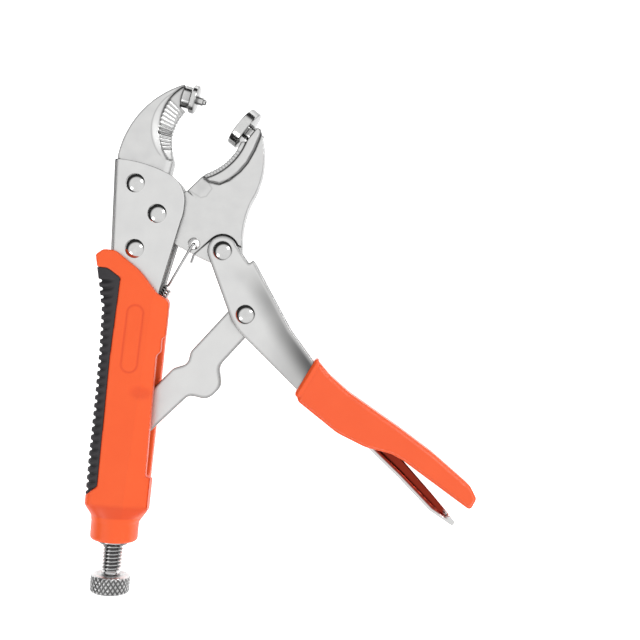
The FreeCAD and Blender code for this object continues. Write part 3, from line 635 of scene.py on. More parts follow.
# Its dark red is a painted reflection of the orange sleeve on the release lever's inner faces, darkened by
# painted shade under the sleeve.
POLISHED_SHEET = Finish(
    "polished_sheet", (0.72, 0.72, 0.71), (0.60, 0.60, 0.60), 1.0, (0.10, 0.18), 0.5, 0.003, 6.0,
    grain=Grain.BRUSHED_ALONG, stain=(0.24, 0.026, 0.014),
)
SPRING_WIRE = Finish(
    "spring_wire", (0.58, 0.58, 0.58), (0.44, 0.44, 0.44), 1.0, (0.14, 0.24), 0.3, 0.003, 2.0
)
ORANGE_SHELL = Finish(
    "orange_shell", (0.95, 0.120, 0.020), (0.88, 0.098, 0.014), 0.0, (0.36, 0.46), 0.22, 0.014, 18.0,
    soft=0.03, shine=0.4, stain=(0.62, 0.035, 0.004),
)
DIPPED_SLEEVE = Finish(
    "dipped_sleeve", (0.93, 0.118, 0.026), (0.86, 0.096, 0.018), 0.0, (0.30, 0.40), 0.5, 0.006, 22.0,
    coat=0.08, soft=0.03, shine=0.4, stain=(0.55, 0.035, 0.006),
)
SOFT_INSERT = Finish(
    "soft_insert", (0.042, 0.039, 0.043), (0.030, 0.028, 0.031), 0.0, (0.55, 0.72), 0.25, 0.015, 8.0,
    shine=0.3, stain=(0.006, 0.006, 0.007),
)


# ---------------------------------------------------------------- sub-assemblies
@dataclass
class Assembly:
    """What every sub-assembly shares.

    Args:
        nodes: The frame's nodes by name.
        joints: The frame's joints.
        drawing: Where the drawing lies.
        pieces: The pieces made so far.
    """

    nodes: dict[str, bpy.types.Object]
    joints: Sequence[dict]
    drawing: Drawing
    pieces: list[bpy.types.Object] = field(default_factory=list, init=False)

    def finish(
        self, piece: bpy.types.Object, finish: Finish, body: str, slot: str, *replaced: str
    ) -> bpy.types.Object:
        """Dresses a new piece and puts it on its body.

        Args:
            piece: The piece.
            finish: Its finish.
            body: The body it rides on.
            slot: The record's material slot; not used.
            *replaced: The frame nodes that it stands for.

        Returns:
            The piece.
        """
        piece.data.materials.clear()
        piece.data.materials.append(finish.material())
        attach(piece, body)
        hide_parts(*replaced)
        self.pieces.append(piece)
        return piece

    def rounded(
        self, node: str, name: str, finish: Finish, body: str, slot: str, width: float
    ) -> bpy.types.Object:
        """Stands a copy with rounded edges in for a node.

        Args:
            node: The frame node.
            name: The new piece's name.
            finish: Its finish.
            body: The body it rides on.
            slot: The record's material slot.
            width: Reach of the edge rounding, in millimetres.

        Returns:
            The piece.
        """
        piece = Bench.copy_of(self.nodes[node], name)
        Bench.round_edges(piece, width)
        Bench.smooth(piece)
        Bench.keep_flats(piece)
        # Paints shade on the cut edges, which turn away from the light.
        Bench.paint(piece, lambda _place, out: float(abs(out.z) < CUT_EDGE_TILT))
        return self.finish(piece, finish, body, slot, node)

    def moulded(self, node: str, name: str, cell: float, passes: int) -> bpy.types.Object:
        """Copies a node with the soft edges of a moulding.

        Args:
            node: The frame node.
            name: The new piece's name.
            cell: Size of the mesh's cells, in millimetres.
            passes: Passes of smoothing.

        Returns:
            The copy, not yet dressed.
        """
        piece = Bench.copy_of(self.nodes[node], name)
        Bench.modify(piece, "REMESH", mode="VOXEL", voxel_size=cell * MM, adaptivity=0.0)
        Bench.modify(piece, "SMOOTH", factor=0.5, iterations=passes)
        return piece


@dataclass(frozen=True)
class Teeth:
    """A row of teeth round the inside of a jaw.

    Args:
        centre: Centre of the toothed arc.
        radius: Its radius.
        first_deg: Direction of the first groove.
        count: Number of grooves.
        pitch: Distance from groove to groove along the arc.
    """

    centre: tuple[float, float]
    radius: float
    first_deg: float
    count: int = 13
    pitch: float = 1.55

    def away(self, x: float, y: float) -> float:
        """Gives the distance from the arc's centre."""
        return math.hypot(x - self.centre[0], y - self.centre[1])

    def direction(self, x: float, y: float) -> float:
        """Gives the direction of a place from the arc's centre, in degrees."""
        return math.degrees(math.atan2(y - self.centre[1], x - self.centre[0]))

    def groove(self, x: float, y: float, width: float) -> float:
        """Gives 1 on a groove between two teeth and 0 on a tooth.

        Args:
            x: Across the handle.
            y: Along the handle.
            width: Width of a groove.

        Returns:
            How much of a groove lies at that place.
        """
        step = math.degrees(self.pitch / self.radius)
        number = ((self.direction(x, y) - self.first_deg + 180.0) % 360.0 - 180.0) / step
        if not -0.5 < number < self.count - 0.5:
            return 0.0
        return ridge((number - round(number)) * self.pitch, 0.0, width)


@dataclass
class FixedHandle(Assembly):
    """The folded channel, its jaw, their rivets and the nut.

    Args:
        plate_edge: Reach of the rounding on the channel's edges.
        nut_edge: Reach of the rounding on the nut's edges.
        jaw_cell: Size of the jaw's mesh cells.
        jaw_passes: Passes of smoothing on the jaw.
        teeth: The jaw's row of teeth.
        tooth_cut: Width and depth of the grooves between them.
        tooth_line: The lines of painted shade in those grooves.
        slope: Centre and radius of the toothed slope.
        slope_painted_shade: Painted shade on the whole slope, and the share of the cut edges' painted shade
            on it.
        slope_line: The line of painted shade along the slope.
        band: Centre and radius of the fine line beside the slope.
        band_line: That line.
        lines_foot_y: Where the two lines end.
        core_half: Half thickness of the middle, which the lines don't reach.
    """

    plate_edge: float = 0.7
    nut_edge: float = 0.15
    jaw_cell: float = 0.34
    jaw_passes: int = 2
    teeth: Teeth = Teeth((34.8, 35.7), 23.0, 141.5)
    tooth_cut: tuple[float, float] = (0.8, 0.30)
    tooth_line: Line = Line(0.7, 0.45)
    slope: tuple[tuple[float, float], float] = ((30.0, 42.4), 24.4)
    slope_painted_shade: tuple[float, float] = (0.15, 0.4)
    slope_line: Line = Line(0.7, 0.9)
    band: tuple[tuple[float, float], float] = ((22.1, 42.0), 19.9)
    band_line: Line = Line(0.5, 0.5)
    lines_foot_y: float = 28.0
    core_half: float = 3.0

    def build(self) -> None:
        """Builds the fixed handle's metal."""
        self.rounded("handle_channel", "handle_plates", SATIN_PLATE, "fixed_handle", "plated_sheet",
                     self.plate_edge)
        self.rounded("screw_nut", "nut_block", TURNED_STEEL, "fixed_handle", "bright_steel", self.nut_edge)
        jaw = self.moulded("fixed_jaw", "fixed_jaw_forging", self.jaw_cell, self.jaw_passes)
        Bench.sculpt(jaw, self._cut)
        Bench.smooth(jaw, degrees=60)
        Bench.paint(jaw, self._shade, fine=True)
        Bench.rim(jaw, rings=2)
        self.finish(jaw, FORGED_STEEL, "fixed_handle", "forged_steel", "fixed_jaw")
        for node in ("upper_jaw_rivet", "lower_jaw_rivet", "jaw_pivot_rivet"):
            dress(self.nodes[node], RIVET_STEEL)

    def _on_slope(self, x: float, y: float) -> float:
        """Gives how far a place lies inside the toothed slope."""
        (centre_x, centre_y), radius = self.slope
        return radius - math.hypot(x - centre_x, y - centre_y)

    def _cut(self, place: Vector, out: Vector) -> Vector:
        """Deepens the grooves between the teeth.

        Args:
            place: A point of the jaw.
            out: Its outward direction.

        Returns:
            Its new place.
        """
        x, y, _z = self.drawing.back(place)
        width, depth = self.tooth_cut
        teeth_foot_y = self.lines_foot_y - 6.0
        inside = ease(self._on_slope(x, y), 0.2, 0.9) * ease(y, teeth_foot_y, teeth_foot_y + 1.0)
        return place - out * depth * MM * inside * self.teeth.groove(x, y, width)

    def _shade(self, place: Vector, out: Vector) -> float:
        """Paints shade on the cut edges, on the two lines beside the teeth and in the grooves between them.

        Args:
            place: A point of the jaw.
            out: Its outward direction.

        Returns:
            Its painted shade.
        """
        x, y, z = self.drawing.back(place)
        amount = CUT_EDGE_SHADE.stain(abs(out.z))
        if self._on_slope(x, y) > 0.3:
            whole, share = self.slope_painted_shade
            lines = self.tooth_line.strength * self.teeth.groove(x, y, self.tooth_line.width)
            return min(whole + share * amount + lines, 1.0)
        if abs(z) < self.core_half:
            return amount
        fade = ease(y, self.lines_foot_y - 1.0, self.lines_foot_y + 1.0)
        (centre_x, centre_y), radius = self.band
        away = math.hypot(x - centre_x, y - centre_y)
        lines = self.slope_line.stain(self._on_slope(x, y)) + self.band_line.stain(away - radius)
        return min(amount + fade * lines, 1.0)


@dataclass
class MovingJaw(Assembly):
    """The moving jaw's forging.

    Args:
        cell: Size of its mesh cells.
        passes: Passes of smoothing.
        teeth: Its row of teeth.
        teeth_end_deg: Direction of the row's lower end.
        tooth_foot: How far the strip of the teeth reaches from the arc's centre.
        foot_drop: How far that strip lies below the face.
        tooth_line: The lines of painted shade between the teeth.
        foot_line: The line of painted shade along the strip.
        groove: Path of the groove round the mouth.
        groove_cut: Its width and depth.
        groove_painted_shade: Painted shade in it.
        cutter: Outline of the wire cutter's pocket.
        cutter_line: The line of painted shade round that pocket.
        core_half: Half thickness of the middle, which the lines don't reach.
        cut_fade: The relief starts and is full this far from the mid-plane.
    """

    cell: float = 0.34
    passes: int = 2
    teeth: Teeth = Teeth((19.35, 47.67), 27.9, -67.0)
    teeth_end_deg: float = -69.0
    tooth_foot: float = 30.6
    foot_drop: float = 0.9
    tooth_line: Line = Line(0.75, 0.75)
    foot_line: Line = Line(0.7, 0.8)
    groove: tuple[tuple[float, float], ...] = (
        (28.6, 21.0), (30.0, 19.2), (32.4, 17.9), (37.0, 17.2), (41.6, 19.5), (45.9, 23.6), (49.6, 28.6),
        (52.4, 34.9), (54.5, 41.2), (55.4, 45.0),
    )
    groove_cut: tuple[float, float] = (1.4, 0.6)
    groove_painted_shade: float = 0.95
    cutter: tuple[tuple[float, float], ...] = (
        (21.8, 12.4), (23.2, 12.5), (28.9, 9.6), (31.5, 10.5), (33.9, 14.4), (29.6, 20.4),
    )
    cutter_line: Line = Line(0.5, 0.35)
    core_half: float = 2.0
    cut_fade: tuple[float, float] = (1.5, 4.2)

    def build(self) -> None:
        """Builds the moving jaw's forging."""
        jaw = self.moulded("moving_jaw", "moving_jaw_forging", self.cell, self.passes)
        Bench.sculpt(jaw, self._cut)
        Bench.smooth(jaw, degrees=60)
        Bench.paint(jaw, self._shade, fine=True)
        Bench.rim(jaw, rings=1)
        self.finish(jaw, FORGED_STEEL, "moving_jaw", "forged_steel", "moving_jaw")

    def _toothed(self, x: float, y: float) -> float:
        """Gives 1 on the strip that the teeth stand on."""
        along = ease(self.teeth.direction(x, y), self.teeth_end_deg - 2.0, self.teeth_end_deg)
        return ease(self.teeth.away(x, y), self.tooth_foot, self.tooth_foot - 0.6) * along

    def _cut(self, place: Vector, _out: Vector) -> Vector:
        """Sinks the outer groove and the strip of the teeth into both faces.

        Args:
            place: A point of the jaw.

        Returns:
            Its new place.
        """
        x, y, z = self.drawing.back(place)
        width, depth = self.groove_cut
        sink = depth * ridge(from_path(x, y, self.groove), 0.0, width)
        sink += self.foot_drop * self._toothed(x, y)
        sink *= ease(abs(z), *self.cut_fade)
        return self.drawing.at(x, y, z - math.copysign(sink, z))

    def _shade(self, place: Vector, out: Vector) -> float:
        """Paints shade on the cut edges, on the two lines of the mouth and in the grooves between the
        teeth.

        Args:
            place: A point of the jaw.
            out: Its outward direction.

        Returns:
            Its painted shade.
        """
        x, y, z = self.drawing.back(place)
        amount = CUT_EDGE_SHADE.stain(abs(out.z))
        if abs(z) < self.core_half:
            return amount
        between = self.teeth.groove(x, y, self.tooth_line.width)
        amount += self.tooth_line.strength * self._toothed(x, y) * between
        amount += self.groove_painted_shade * ridge(from_path(x, y, self.groove), 0.0, self.groove_cut[0])
        along = ease(self.teeth.direction(x, y), self.teeth_end_deg - 3.0, self.teeth_end_deg)
        amount += self.foot_line.stain(self.teeth.away(x, y) - self.tooth_foot) * along
        amount += self.cutter_line.stain(from_path(x, y, self.cutter))
        return min(amount, 1.0)


@dataclass
class Dies(Assembly):
    """The flaring punch on the fixed jaw and the cup die on the moving jaw.

    Both are drawn where they face each other at the lock; the cup is then turned back with its jaw.
    A profile is a row of (along, radius) steps from the piece's back to its face.

    Args:
        meeting_point: Middle of the gap between them at the lock.
        axis_deg: Direction of their common axis there.
        gap: The gap between their faces there.
        side_shade: Paints shade on their sides as they turn away from the light.
        punch_profile: The stepped punch.
        holder_profile: The punch's flange and collar.
        cup_profile: The cup ring.
        stud_profile: The stud that holds the cup ring.
        lock_deg: Turn of the moving jaw from rest to the lock, from the frame.
        axis: Their common axis at the lock, worked out from its direction.
    """

    meeting_point: tuple[float, float] = (23.2, 57.2)
    axis_deg: float = -12.1
    gap: float = 1.6
    side_shade: Fade = Fade(0.9, 0.92, 0.35)
    punch_profile: tuple[tuple[float, float], ...] = (
        (-5.0, 1.5), (0.0, 1.5), (0.0, 2.0), (2.9, 2.0), (3.1, 1.8), (3.1, 1.4), (4.2, 1.4), (4.6, 1.0),
    )
    holder_profile: tuple[tuple[float, float], ...] = (
        (-10.7, 2.7), (-10.4, 3.0), (-6.9, 3.0), (-6.9, 5.1), (-6.6, 5.4), (-3.0, 5.4), (-3.0, 6.2),
        (-2.7, 6.75), (-2.3, 7.0), (-0.8, 7.0), (-0.3, 6.75), (0.0, 6.2), (0.0, 2.3), (-0.4, 1.9),
    )
    cup_profile: tuple[tuple[float, float], ...] = (
        (-5.0, 3.05), (-5.0, 9.5), (-4.8, 9.95), (-4.4, 10.2), (-0.6, 10.2), (-0.2, 10.0), (0.0, 9.6),
        (0.0, 6.8), (-0.2, 6.4), (-3.4, 6.4), (-3.4, 3.05),
    )
    stud_profile: tuple[tuple[float, float], ...] = (
        (-12.6, 3.0), (-7.6, 3.0), (-7.6, 3.6), (-7.4, 3.9), (-6.6, 3.9), (-6.4, 3.5), (-6.1, 3.5),
        (-5.9, 3.9), (-5.2, 3.9), (-5.0, 3.6), (-5.0, 3.0), (-3.7, 3.0), (-3.5, 2.8),
    )
    lock_deg: float = field(default=0.0, init=False)
    axis: Vector = field(default_factory=Vector, init=False)

    def build(self) -> None:
        """Builds the four turned pieces of the two dies."""
        turn = next(joint for joint in self.joints if joint["name"] == "jaw_swing")
        self.lock_deg = turn["range_deg"][1]
        angle = math.radians(self.axis_deg)
        self.axis = Vector((math.cos(angle), math.sin(angle), 0.0))
        punch_face = self._across(-self.gap / 2)
        for node, name, profile in (
            ("punch_holder", "punch_flange", self.holder_profile),
            ("flaring_punch", "stepped_punch", self.punch_profile),
        ):
            piece = Bench.lathe(name, profile, punch_face, self.axis)
            self._finish_turned(piece, punch_face, self.axis, "fixed_handle", node)
        cup_face, cup_axis = self._opened(self._across(self.gap / 2)), self._back_turn() @ -self.axis
        for node, name, profile in (
            ("cup_die", "cup_die_ring", self.cup_profile),
            ("cup_die_stud", "shouldered_stud", self.stud_profile),
        ):
            piece = Bench.lathe(name, profile, cup_face, cup_axis, sides=96)
            self._finish_turned(piece, cup_face, cup_axis, "moving_jaw", node)

    def _across(self, along: float) -> Vector:
        """Gives the point that far along the die axis from the meeting point."""
        return self.drawing.at(*self.meeting_point) + self.axis * along * MM

    def _back_turn(self) -> Matrix:
        """Gives the turn that opens the jaw from the lock to rest."""
        return Matrix.Rotation(-math.radians(self.lock_deg), 3, "Z")

    def _opened(self, place: Vector) -> Vector:
        """Takes a point of the moving jaw from the lock to rest."""
        pivot = self.drawing.at(*JAW_PIVOT)
        return pivot + self._back_turn() @ (place - pivot)

    def _finish_turned(
        self, piece: bpy.types.Object, centre: Vector, axis: Vector, body: str, node: str
    ) -> None:
        """Smooths a turned piece, paints shade on its sides and gives it turning marks.

        Args:
            piece: The piece.
            centre: A point on its axis.
            axis: Its axis.
            body: The body it rides on.
            node: The node it stands for.
        """
        Bench.smooth(piece, degrees=30)
        Bench.keep_flats(piece)
        Bench.paint(piece, lambda _place, out: self.side_shade.stain(abs(out.z)), fine=True)
        finish = replace(TURNED_STEEL, name=f"turned_{node}", rings=(centre, axis))
        self.finish(piece, finish, body, "bright_steel", node)


@dataclass
class Adjuster(Assembly):
    """The threaded adjusting screw and its knurled knob.

    Args:
        thread_radius: Radius over the thread's crests.
        thread_depth: Depth of the thread.
        thread_shape: Where along a pitch the flanks start and end.
        pitch: The thread's pitch.
        thread_top_y: Its upper end, inside the handle.
        thread_foot_y: Its lower end.
        thread_sides: Facets round it.
        tip: Radius and length of its tapered upper end.
        slack: How far the ends are trimmed below the taper.
        root_shade: Paints shade on the thread from its crests inwards.
        collar_radius: Radius of the collar above the knob.
        tail_radius: Radius of the tail that the knob sits on.
        tail_edge: Chamfer on the collar's and the tail's edges.
        tail_core: Radius of the collar's middle, where it meets the thread.
        tail_end_y: Lower end of the tail.
        knob_radius: Radius of the knob.
        knob_top_y: Its upper end.
        knob_length: Its length.
        knob_edge: Radius of its rims.
        dish: Width of its end rings, width of the chamfer inside them and depth of the dish.
        knurl_starts: Grooves round the knob, each way.
        knurl_slope: How far a groove turns for each step along.
        knurl_depth: Depth of the grooves.
        knurl_margin: Length at each end that stays unpainted.
        knurl_run_in: Length over which the grooves deepen from an end.
        knurl_shade: Paints shade in the grooves from the diamonds' points down.
        knurl_samples: Mesh points from groove to groove.
        knurl_rings: Mesh rings along the knob.
    """

    thread_radius: float = 5.0
    thread_depth: float = 1.0
    thread_shape: tuple[float, float, float, float] = (0.08, 0.43, 0.57, 0.92)
    pitch: float = 1.75
    thread_top_y: float = -123.7
    thread_foot_y: float = -174.4
    thread_sides: int = 48
    tip: tuple[float, float] = (3.2, 2.0)
    slack: float = 0.02
    root_shade: Fade = Fade(0.9, 0.2, 0.8)
    collar_radius: float = 4.6
    tail_radius: float = 3.0
    tail_edge: float = 0.3
    tail_core: float = 1.0
    tail_end_y: float = -183.4
    knob_radius: float = 9.7
    knob_top_y: float = -176.2
    knob_length: float = 9.2
    knob_edge: float = 1.9
    dish: tuple[float, float, float] = (1.2, 0.4, 0.3)
    knurl_starts: int = 26
    knurl_slope: float = 0.72
    knurl_depth: float = 0.42
    knurl_margin: float = 0.8
    knurl_run_in: float = 1.2
    knurl_shade: Fade = Fade(0.9, 0.75, 0.15)
    knurl_samples: int = 8
    knurl_rings: int = 34

    def build(self) -> None:
        """Builds the screw and the knob."""
        screw = self._screw()
        Bench.paint(screw, self._root_painted_shade, fine=True)
        self.finish(screw, THREADED_STEEL, "adjusting_screw", "bright_steel", "adjusting_screw")
        knob = self._knob()
        Bench.paint(knob, self._knurl_painted_shade, fine=True)
        self.finish(knob, KNURLED_STEEL, "adjusting_knob", "bright_steel", "adjusting_knob")

    def _root_painted_shade(self, place: Vector, _out: Vector) -> float:
        """Paints shade on the thread's root.

        Args:
            place: A point of the screw.

        Returns:
            Its painted shade.
        """
        x, y, z = self.drawing.back(place)
        threaded = ease(y, self.thread_foot_y, self.thread_foot_y + 0.5)
        return threaded * self.root_shade.stain(self.thread_radius - math.hypot(x, z))

    def _knurl_painted_shade(self, place: Vector, _out: Vector) -> float:
        """Paints shade in the knurl's grooves.

        Args:
            place: A point of the knob.

        Returns:
            Its painted shade.
        """
        x, y, z = self.drawing.back(place)
        from_end = min(y - self.knob_top_y + self.knob_length, self.knob_top_y - y)
        side = self.knob_radius - self.knob_edge - self.knurl_depth
        if from_end < self.knurl_margin or math.hypot(x, z) < side:
            return 0.0
        return self.knurl_shade.stain(self._knurl(x, y, z))

    def _knurl(self, x: float, y: float, z: float) -> float:
        """Gives the height of the knurl's pattern.

        Args:
            x: Across the knob.
            y: Along the knob.
            z: Across the knob, upwards.

        Returns:
            1 on a diamond's point and 0 in a groove.
        """
        turn = math.atan2(z, x)
        lean = self.knurl_slope * y / self.knob_radius
        turns = [self.knurl_starts * (turn + way * lean) / TAU for way in (1, -1)]
        return min(abs(2.0 * (count % 1.0) - 1.0) for count in turns)

    def _rod(
        self, name: str, foot_y: float, top_y: float, radius: float, sides: int, cuts: int
    ) -> bpy.types.Object:
        """Adds a rod along Y on the screw's axis with its side cut into rings.

        Args:
            name: The rod's name.
            foot_y: Its lower end.
            top_y: Its upper end.
            radius: Its radius.
            sides: Facets round it.
            cuts: Cuts along it.

        Returns:
            The rod.
        """
        Bench.clear()
        bpy.ops.mesh.primitive_cylinder_add(
            vertices=sides, radius=radius * MM, depth=(top_y - foot_y) * MM,
            location=self.drawing.at(0.0, (foot_y + top_y) / 2), rotation=(math.pi / 2, 0.0, 0.0),
        )
        piece = Bench.name(name)
        bpy.ops.object.mode_set(mode="EDIT")
        shape = bmesh.from_edit_mesh(piece.data)
        for edge in shape.edges:
            edge.select_set(abs(edge.verts[0].co.y - edge.verts[1].co.y) > 0.5 * (top_y - foot_y) * MM)
        bmesh.update_edit_mesh(piece.data)
        bpy.ops.mesh.subdivide(number_cuts=cuts)
        bpy.ops.object.mode_set(mode="OBJECT")
        return piece

    def _screw(self) -> bpy.types.Object:
        """Winds the thread, rounds its ends and adds its collar and tail.

        Returns:
            The screw, not yet painted.
        """
        screw = self._wound_thread()
        tip_radius, tip_length = self.tip
        root = self.thread_radius - self.thread_depth

        def trim(place: Vector, _out: Vector) -> Vector:
            """Keeps a point inside the tapered ends of the thread.

            Args:
                place: A point of the thread.

            Returns:
                Its new place.
            """
            x, y, z = self.drawing.back(place)
            reach = max(math.hypot(x, z), self.slack)
            top = ease(y, self.thread_top_y, self.thread_top_y - tip_length)
            foot = ease(y, self.thread_foot_y, self.thread_foot_y + 1.0)
            taper = tip_radius + (self.thread_radius - tip_radius) * top
            share = min((min(taper, root + self.thread_depth * foot) - self.slack) / reach, 1.0)
            return self.drawing.at(x * share, min(y, self.thread_top_y), z * share)

        Bench.sculpt(screw, trim)
        Bench.smooth(screw, degrees=40)
        edge = self.tail_edge
        profile = (
            (self.tail_end_y, self.tail_radius - edge), (self.tail_end_y + edge, self.tail_radius),
            (self.knob_top_y, self.tail_radius), (self.knob_top_y, self.collar_radius - edge),
            (self.knob_top_y + edge, self.collar_radius), (self.thread_foot_y - edge, self.collar_radius),
            (self.thread_foot_y, self.collar_radius - edge), (self.thread_foot_y, self.tail_core),
        )
        tail = Bench.lathe("screw_tail", profile, self.drawing.at(0.0, 0.0), Vector((0.0, 1.0, 0.0)))
        Bench.smooth(tail, degrees=30)
        Bench.take(screw)
        tail.select_set(True)
        bpy.ops.object.join()
        return screw

    def _wound_thread(self) -> bpy.types.Object:
        """Winds one pitch of the thread's section up the screw's axis and closes its ends.

        Returns:
            The thread, a little longer than the screw at both ends.
        """
        crest = self.thread_radius
        root = crest - self.thread_depth
        shape = zip((root, root, crest, crest, root, root), (0.0, *self.thread_shape, 1.0))
        section = bpy.data.meshes.new("threaded_screw")
        points = [(radius * MM, 0.0, along * self.pitch * MM) for radius, along in shape]
        section.from_pydata(points, [(i, i + 1) for i in range(len(points) - 1)], [])
        screw = bpy.data.objects.new("threaded_screw", section)
        bpy.context.scene.collection.objects.link(screw)
        start_y = self.thread_foot_y - self.pitch
        turns = math.ceil((self.thread_top_y - start_y) / self.pitch)
        Bench.modify(screw, "SCREW", axis="Z", angle=TAU, screw_offset=self.pitch * MM, iterations=turns,
                     steps=self.thread_sides, render_steps=self.thread_sides)
        Bench.take(screw)
        bpy.ops.object.mode_set(mode="EDIT")
        bpy.ops.mesh.select_all(action="SELECT")
        bpy.ops.mesh.remove_doubles(threshold=MERGE_GAP)
        bpy.ops.mesh.select_all(action="DESELECT")
        bpy.ops.mesh.select_non_manifold()
        bpy.ops.mesh.fill_holes(sides=0)
        bpy.ops.mesh.select_all(action="SELECT")
        bpy.ops.mesh.normals_make_consistent(inside=False)
        bpy.ops.object.mode_set(mode="OBJECT")
        lay = Vector((0.0, 1.0, 0.0)).to_track_quat("Z", "Y").to_matrix().to_4x4()
        screw.data.transform(Matrix.Translation(self.drawing.at(0.0, start_y)) @ lay)
        return screw

    def _knob(self) -> bpy.types.Object:
        """Turns the knob and rolls a diamond knurl round it.

        Returns:
            The knob, not yet painted.
        """
        foot_y = self.knob_top_y - self.knob_length
        knob = self._rod("knurled_knob", foot_y, self.knob_top_y, self.knob_radius,
                         self.knurl_starts * self.knurl_samples, self.knurl_rings)

        def roll(place: Vector, _out: Vector) -> Vector:
            """Rounds the knob's rims and presses the knurl into its side.

            Args:
                place: A point of the knob.

            Returns:
                Its new place.
            """
            x, y, z = self.drawing.back(place)
            reach = math.hypot(x, z)
            from_end = min(y - foot_y, self.knob_top_y - y)
            curl = max(self.knob_edge - from_end, 0.0) / self.knob_edge
            rim = self.knob_edge * (1.0 - math.sqrt(max(1.0 - curl * curl, 0.0)))
            sink = self.knurl_depth * (1.0 - self._knurl(x, y, z)) * ease(from_end, 0.0, self.knurl_run_in)
            radius = self.knob_radius - rim - sink
            return self.drawing.at(x * radius / reach, y, z * radius / reach)

        Bench.sculpt(knob, roll)
        self._dish_ends(knob)
        Bench.smooth(knob, degrees=60)
        return knob

    def _dish_ends(self, knob: bpy.types.Object) -> None:
        """Chamfers and dishes the knob's two round ends.

        Args:
            knob: The knob.
        """
        ring, chamfer, depth = self.dish
        Bench.take(knob)
        bpy.ops.object.mode_set(mode="EDIT")
        shape = bmesh.from_edit_mesh(knob.data)
        for face in shape.faces:
            face.select_set(len(face.verts) > self.knurl_starts)
        bmesh.update_edit_mesh(knob.data)
        bpy.ops.mesh.inset(thickness=ring * MM, depth=0.0)
        bpy.ops.mesh.inset(thickness=chamfer * MM, depth=-depth * MM)
        bpy.ops.object.mode_set(mode="OBJECT")


@dataclass
class JawSpring(Assembly):
    """The tension spring that opens the moving jaw.

    Args:
        wire_radius: Radius of the wire.
        coil_radius: Radius of the coil's centre line.
        turns: Turns of the coil.
        pitch: Pitch of the coil.
        steps: Points on each turn.
        hole: The hole in the moving jaw.
        coil_top: The coil's upper end.
        stub: The bent end behind the moving jaw, from the hole.
        hook_run: Length of the upper hook over the jaw's face.
        lead_in: Where the wire meets the coil: how far above it and how far aside.
        lead_out: How far below the coil the wire turns back to its middle.
        anchor_reach: How far below the coil the lower hook lies.
        anchor_run: Length of the lower hook's two legs.
        over_jaw: Half height of the upper hook.
        over_tab: Half height of the lower hook.
        bend: Radius of the wire's bends.
        still_run: Not used; meant as the length at the hole that moves with the jaw without stretching.
    """

    wire_radius: float = 0.62
    coil_radius: float = 1.85
    turns: int = 18
    pitch: float = 1.4
    steps: int = 14
    hole: tuple[float, float] = (27.4, -12.8)
    coil_top: tuple[float, float] = (15.8, -35.5)
    stub: tuple[float, float] = (-2.16, -8.73)
    hook_run: float = 5.0
    lead_in: tuple[float, float] = (1.6, 0.4)
    lead_out: float = 1.4
    anchor_reach: float = 11.0
    anchor_run: float = 3.4
    over_jaw: float = 6.75
    over_tab: float = 2.15
    bend: float = 1.6
    still_run: float = 4.0

    def build(self) -> None:
        """Winds the spring with its two hooks."""
        hole = self.drawing.at(*self.hole)
        top = self.drawing.at(*self.coil_top)
        run = (top - hole).normalized()
        up = Vector((0.0, 0.0, 1.0))
        side = run.cross(up)
        end = top + run * self.turns * self.pitch * MM
        coil = []
        for step in range(self.turns * self.steps + 1):
            turn = TAU * step / self.steps
            spoke = side * math.cos(turn) + up * math.sin(turn)
            coil.append(top + run * self.pitch * MM * step / self.steps + spoke * self.coil_radius * MM)
        over, low = up * self.over_jaw * MM, up * self.over_tab * MM
        stub = Vector((*self.stub, 0.0)) * MM
        above, aside = self.lead_in
        upper = [
            hole - over + stub, hole - over, hole + over, hole + over + run * self.hook_run * MM,
            top - run * above * MM + side * aside * MM, coil[0],
        ]
        anchor, leg = end + run * self.anchor_reach * MM, run * self.anchor_run * MM
        lower = [
            coil[-1], end + run * self.lead_out * MM, anchor - leg + low, anchor + low, anchor - low,
            anchor - low - leg,
        ]
        path = soft_corners(upper, self.bend * MM) + coil[1:-1] + soft_corners(lower, self.bend * MM)
        spring = Bench.wire("wound_spring", path, self.wire_radius)
        Bench.smooth(spring, degrees=60)
        spring.data.materials.append(SPRING_WIRE.material())
        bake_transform(spring)
        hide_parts("jaw_spring")
        self.pieces.append(spring)


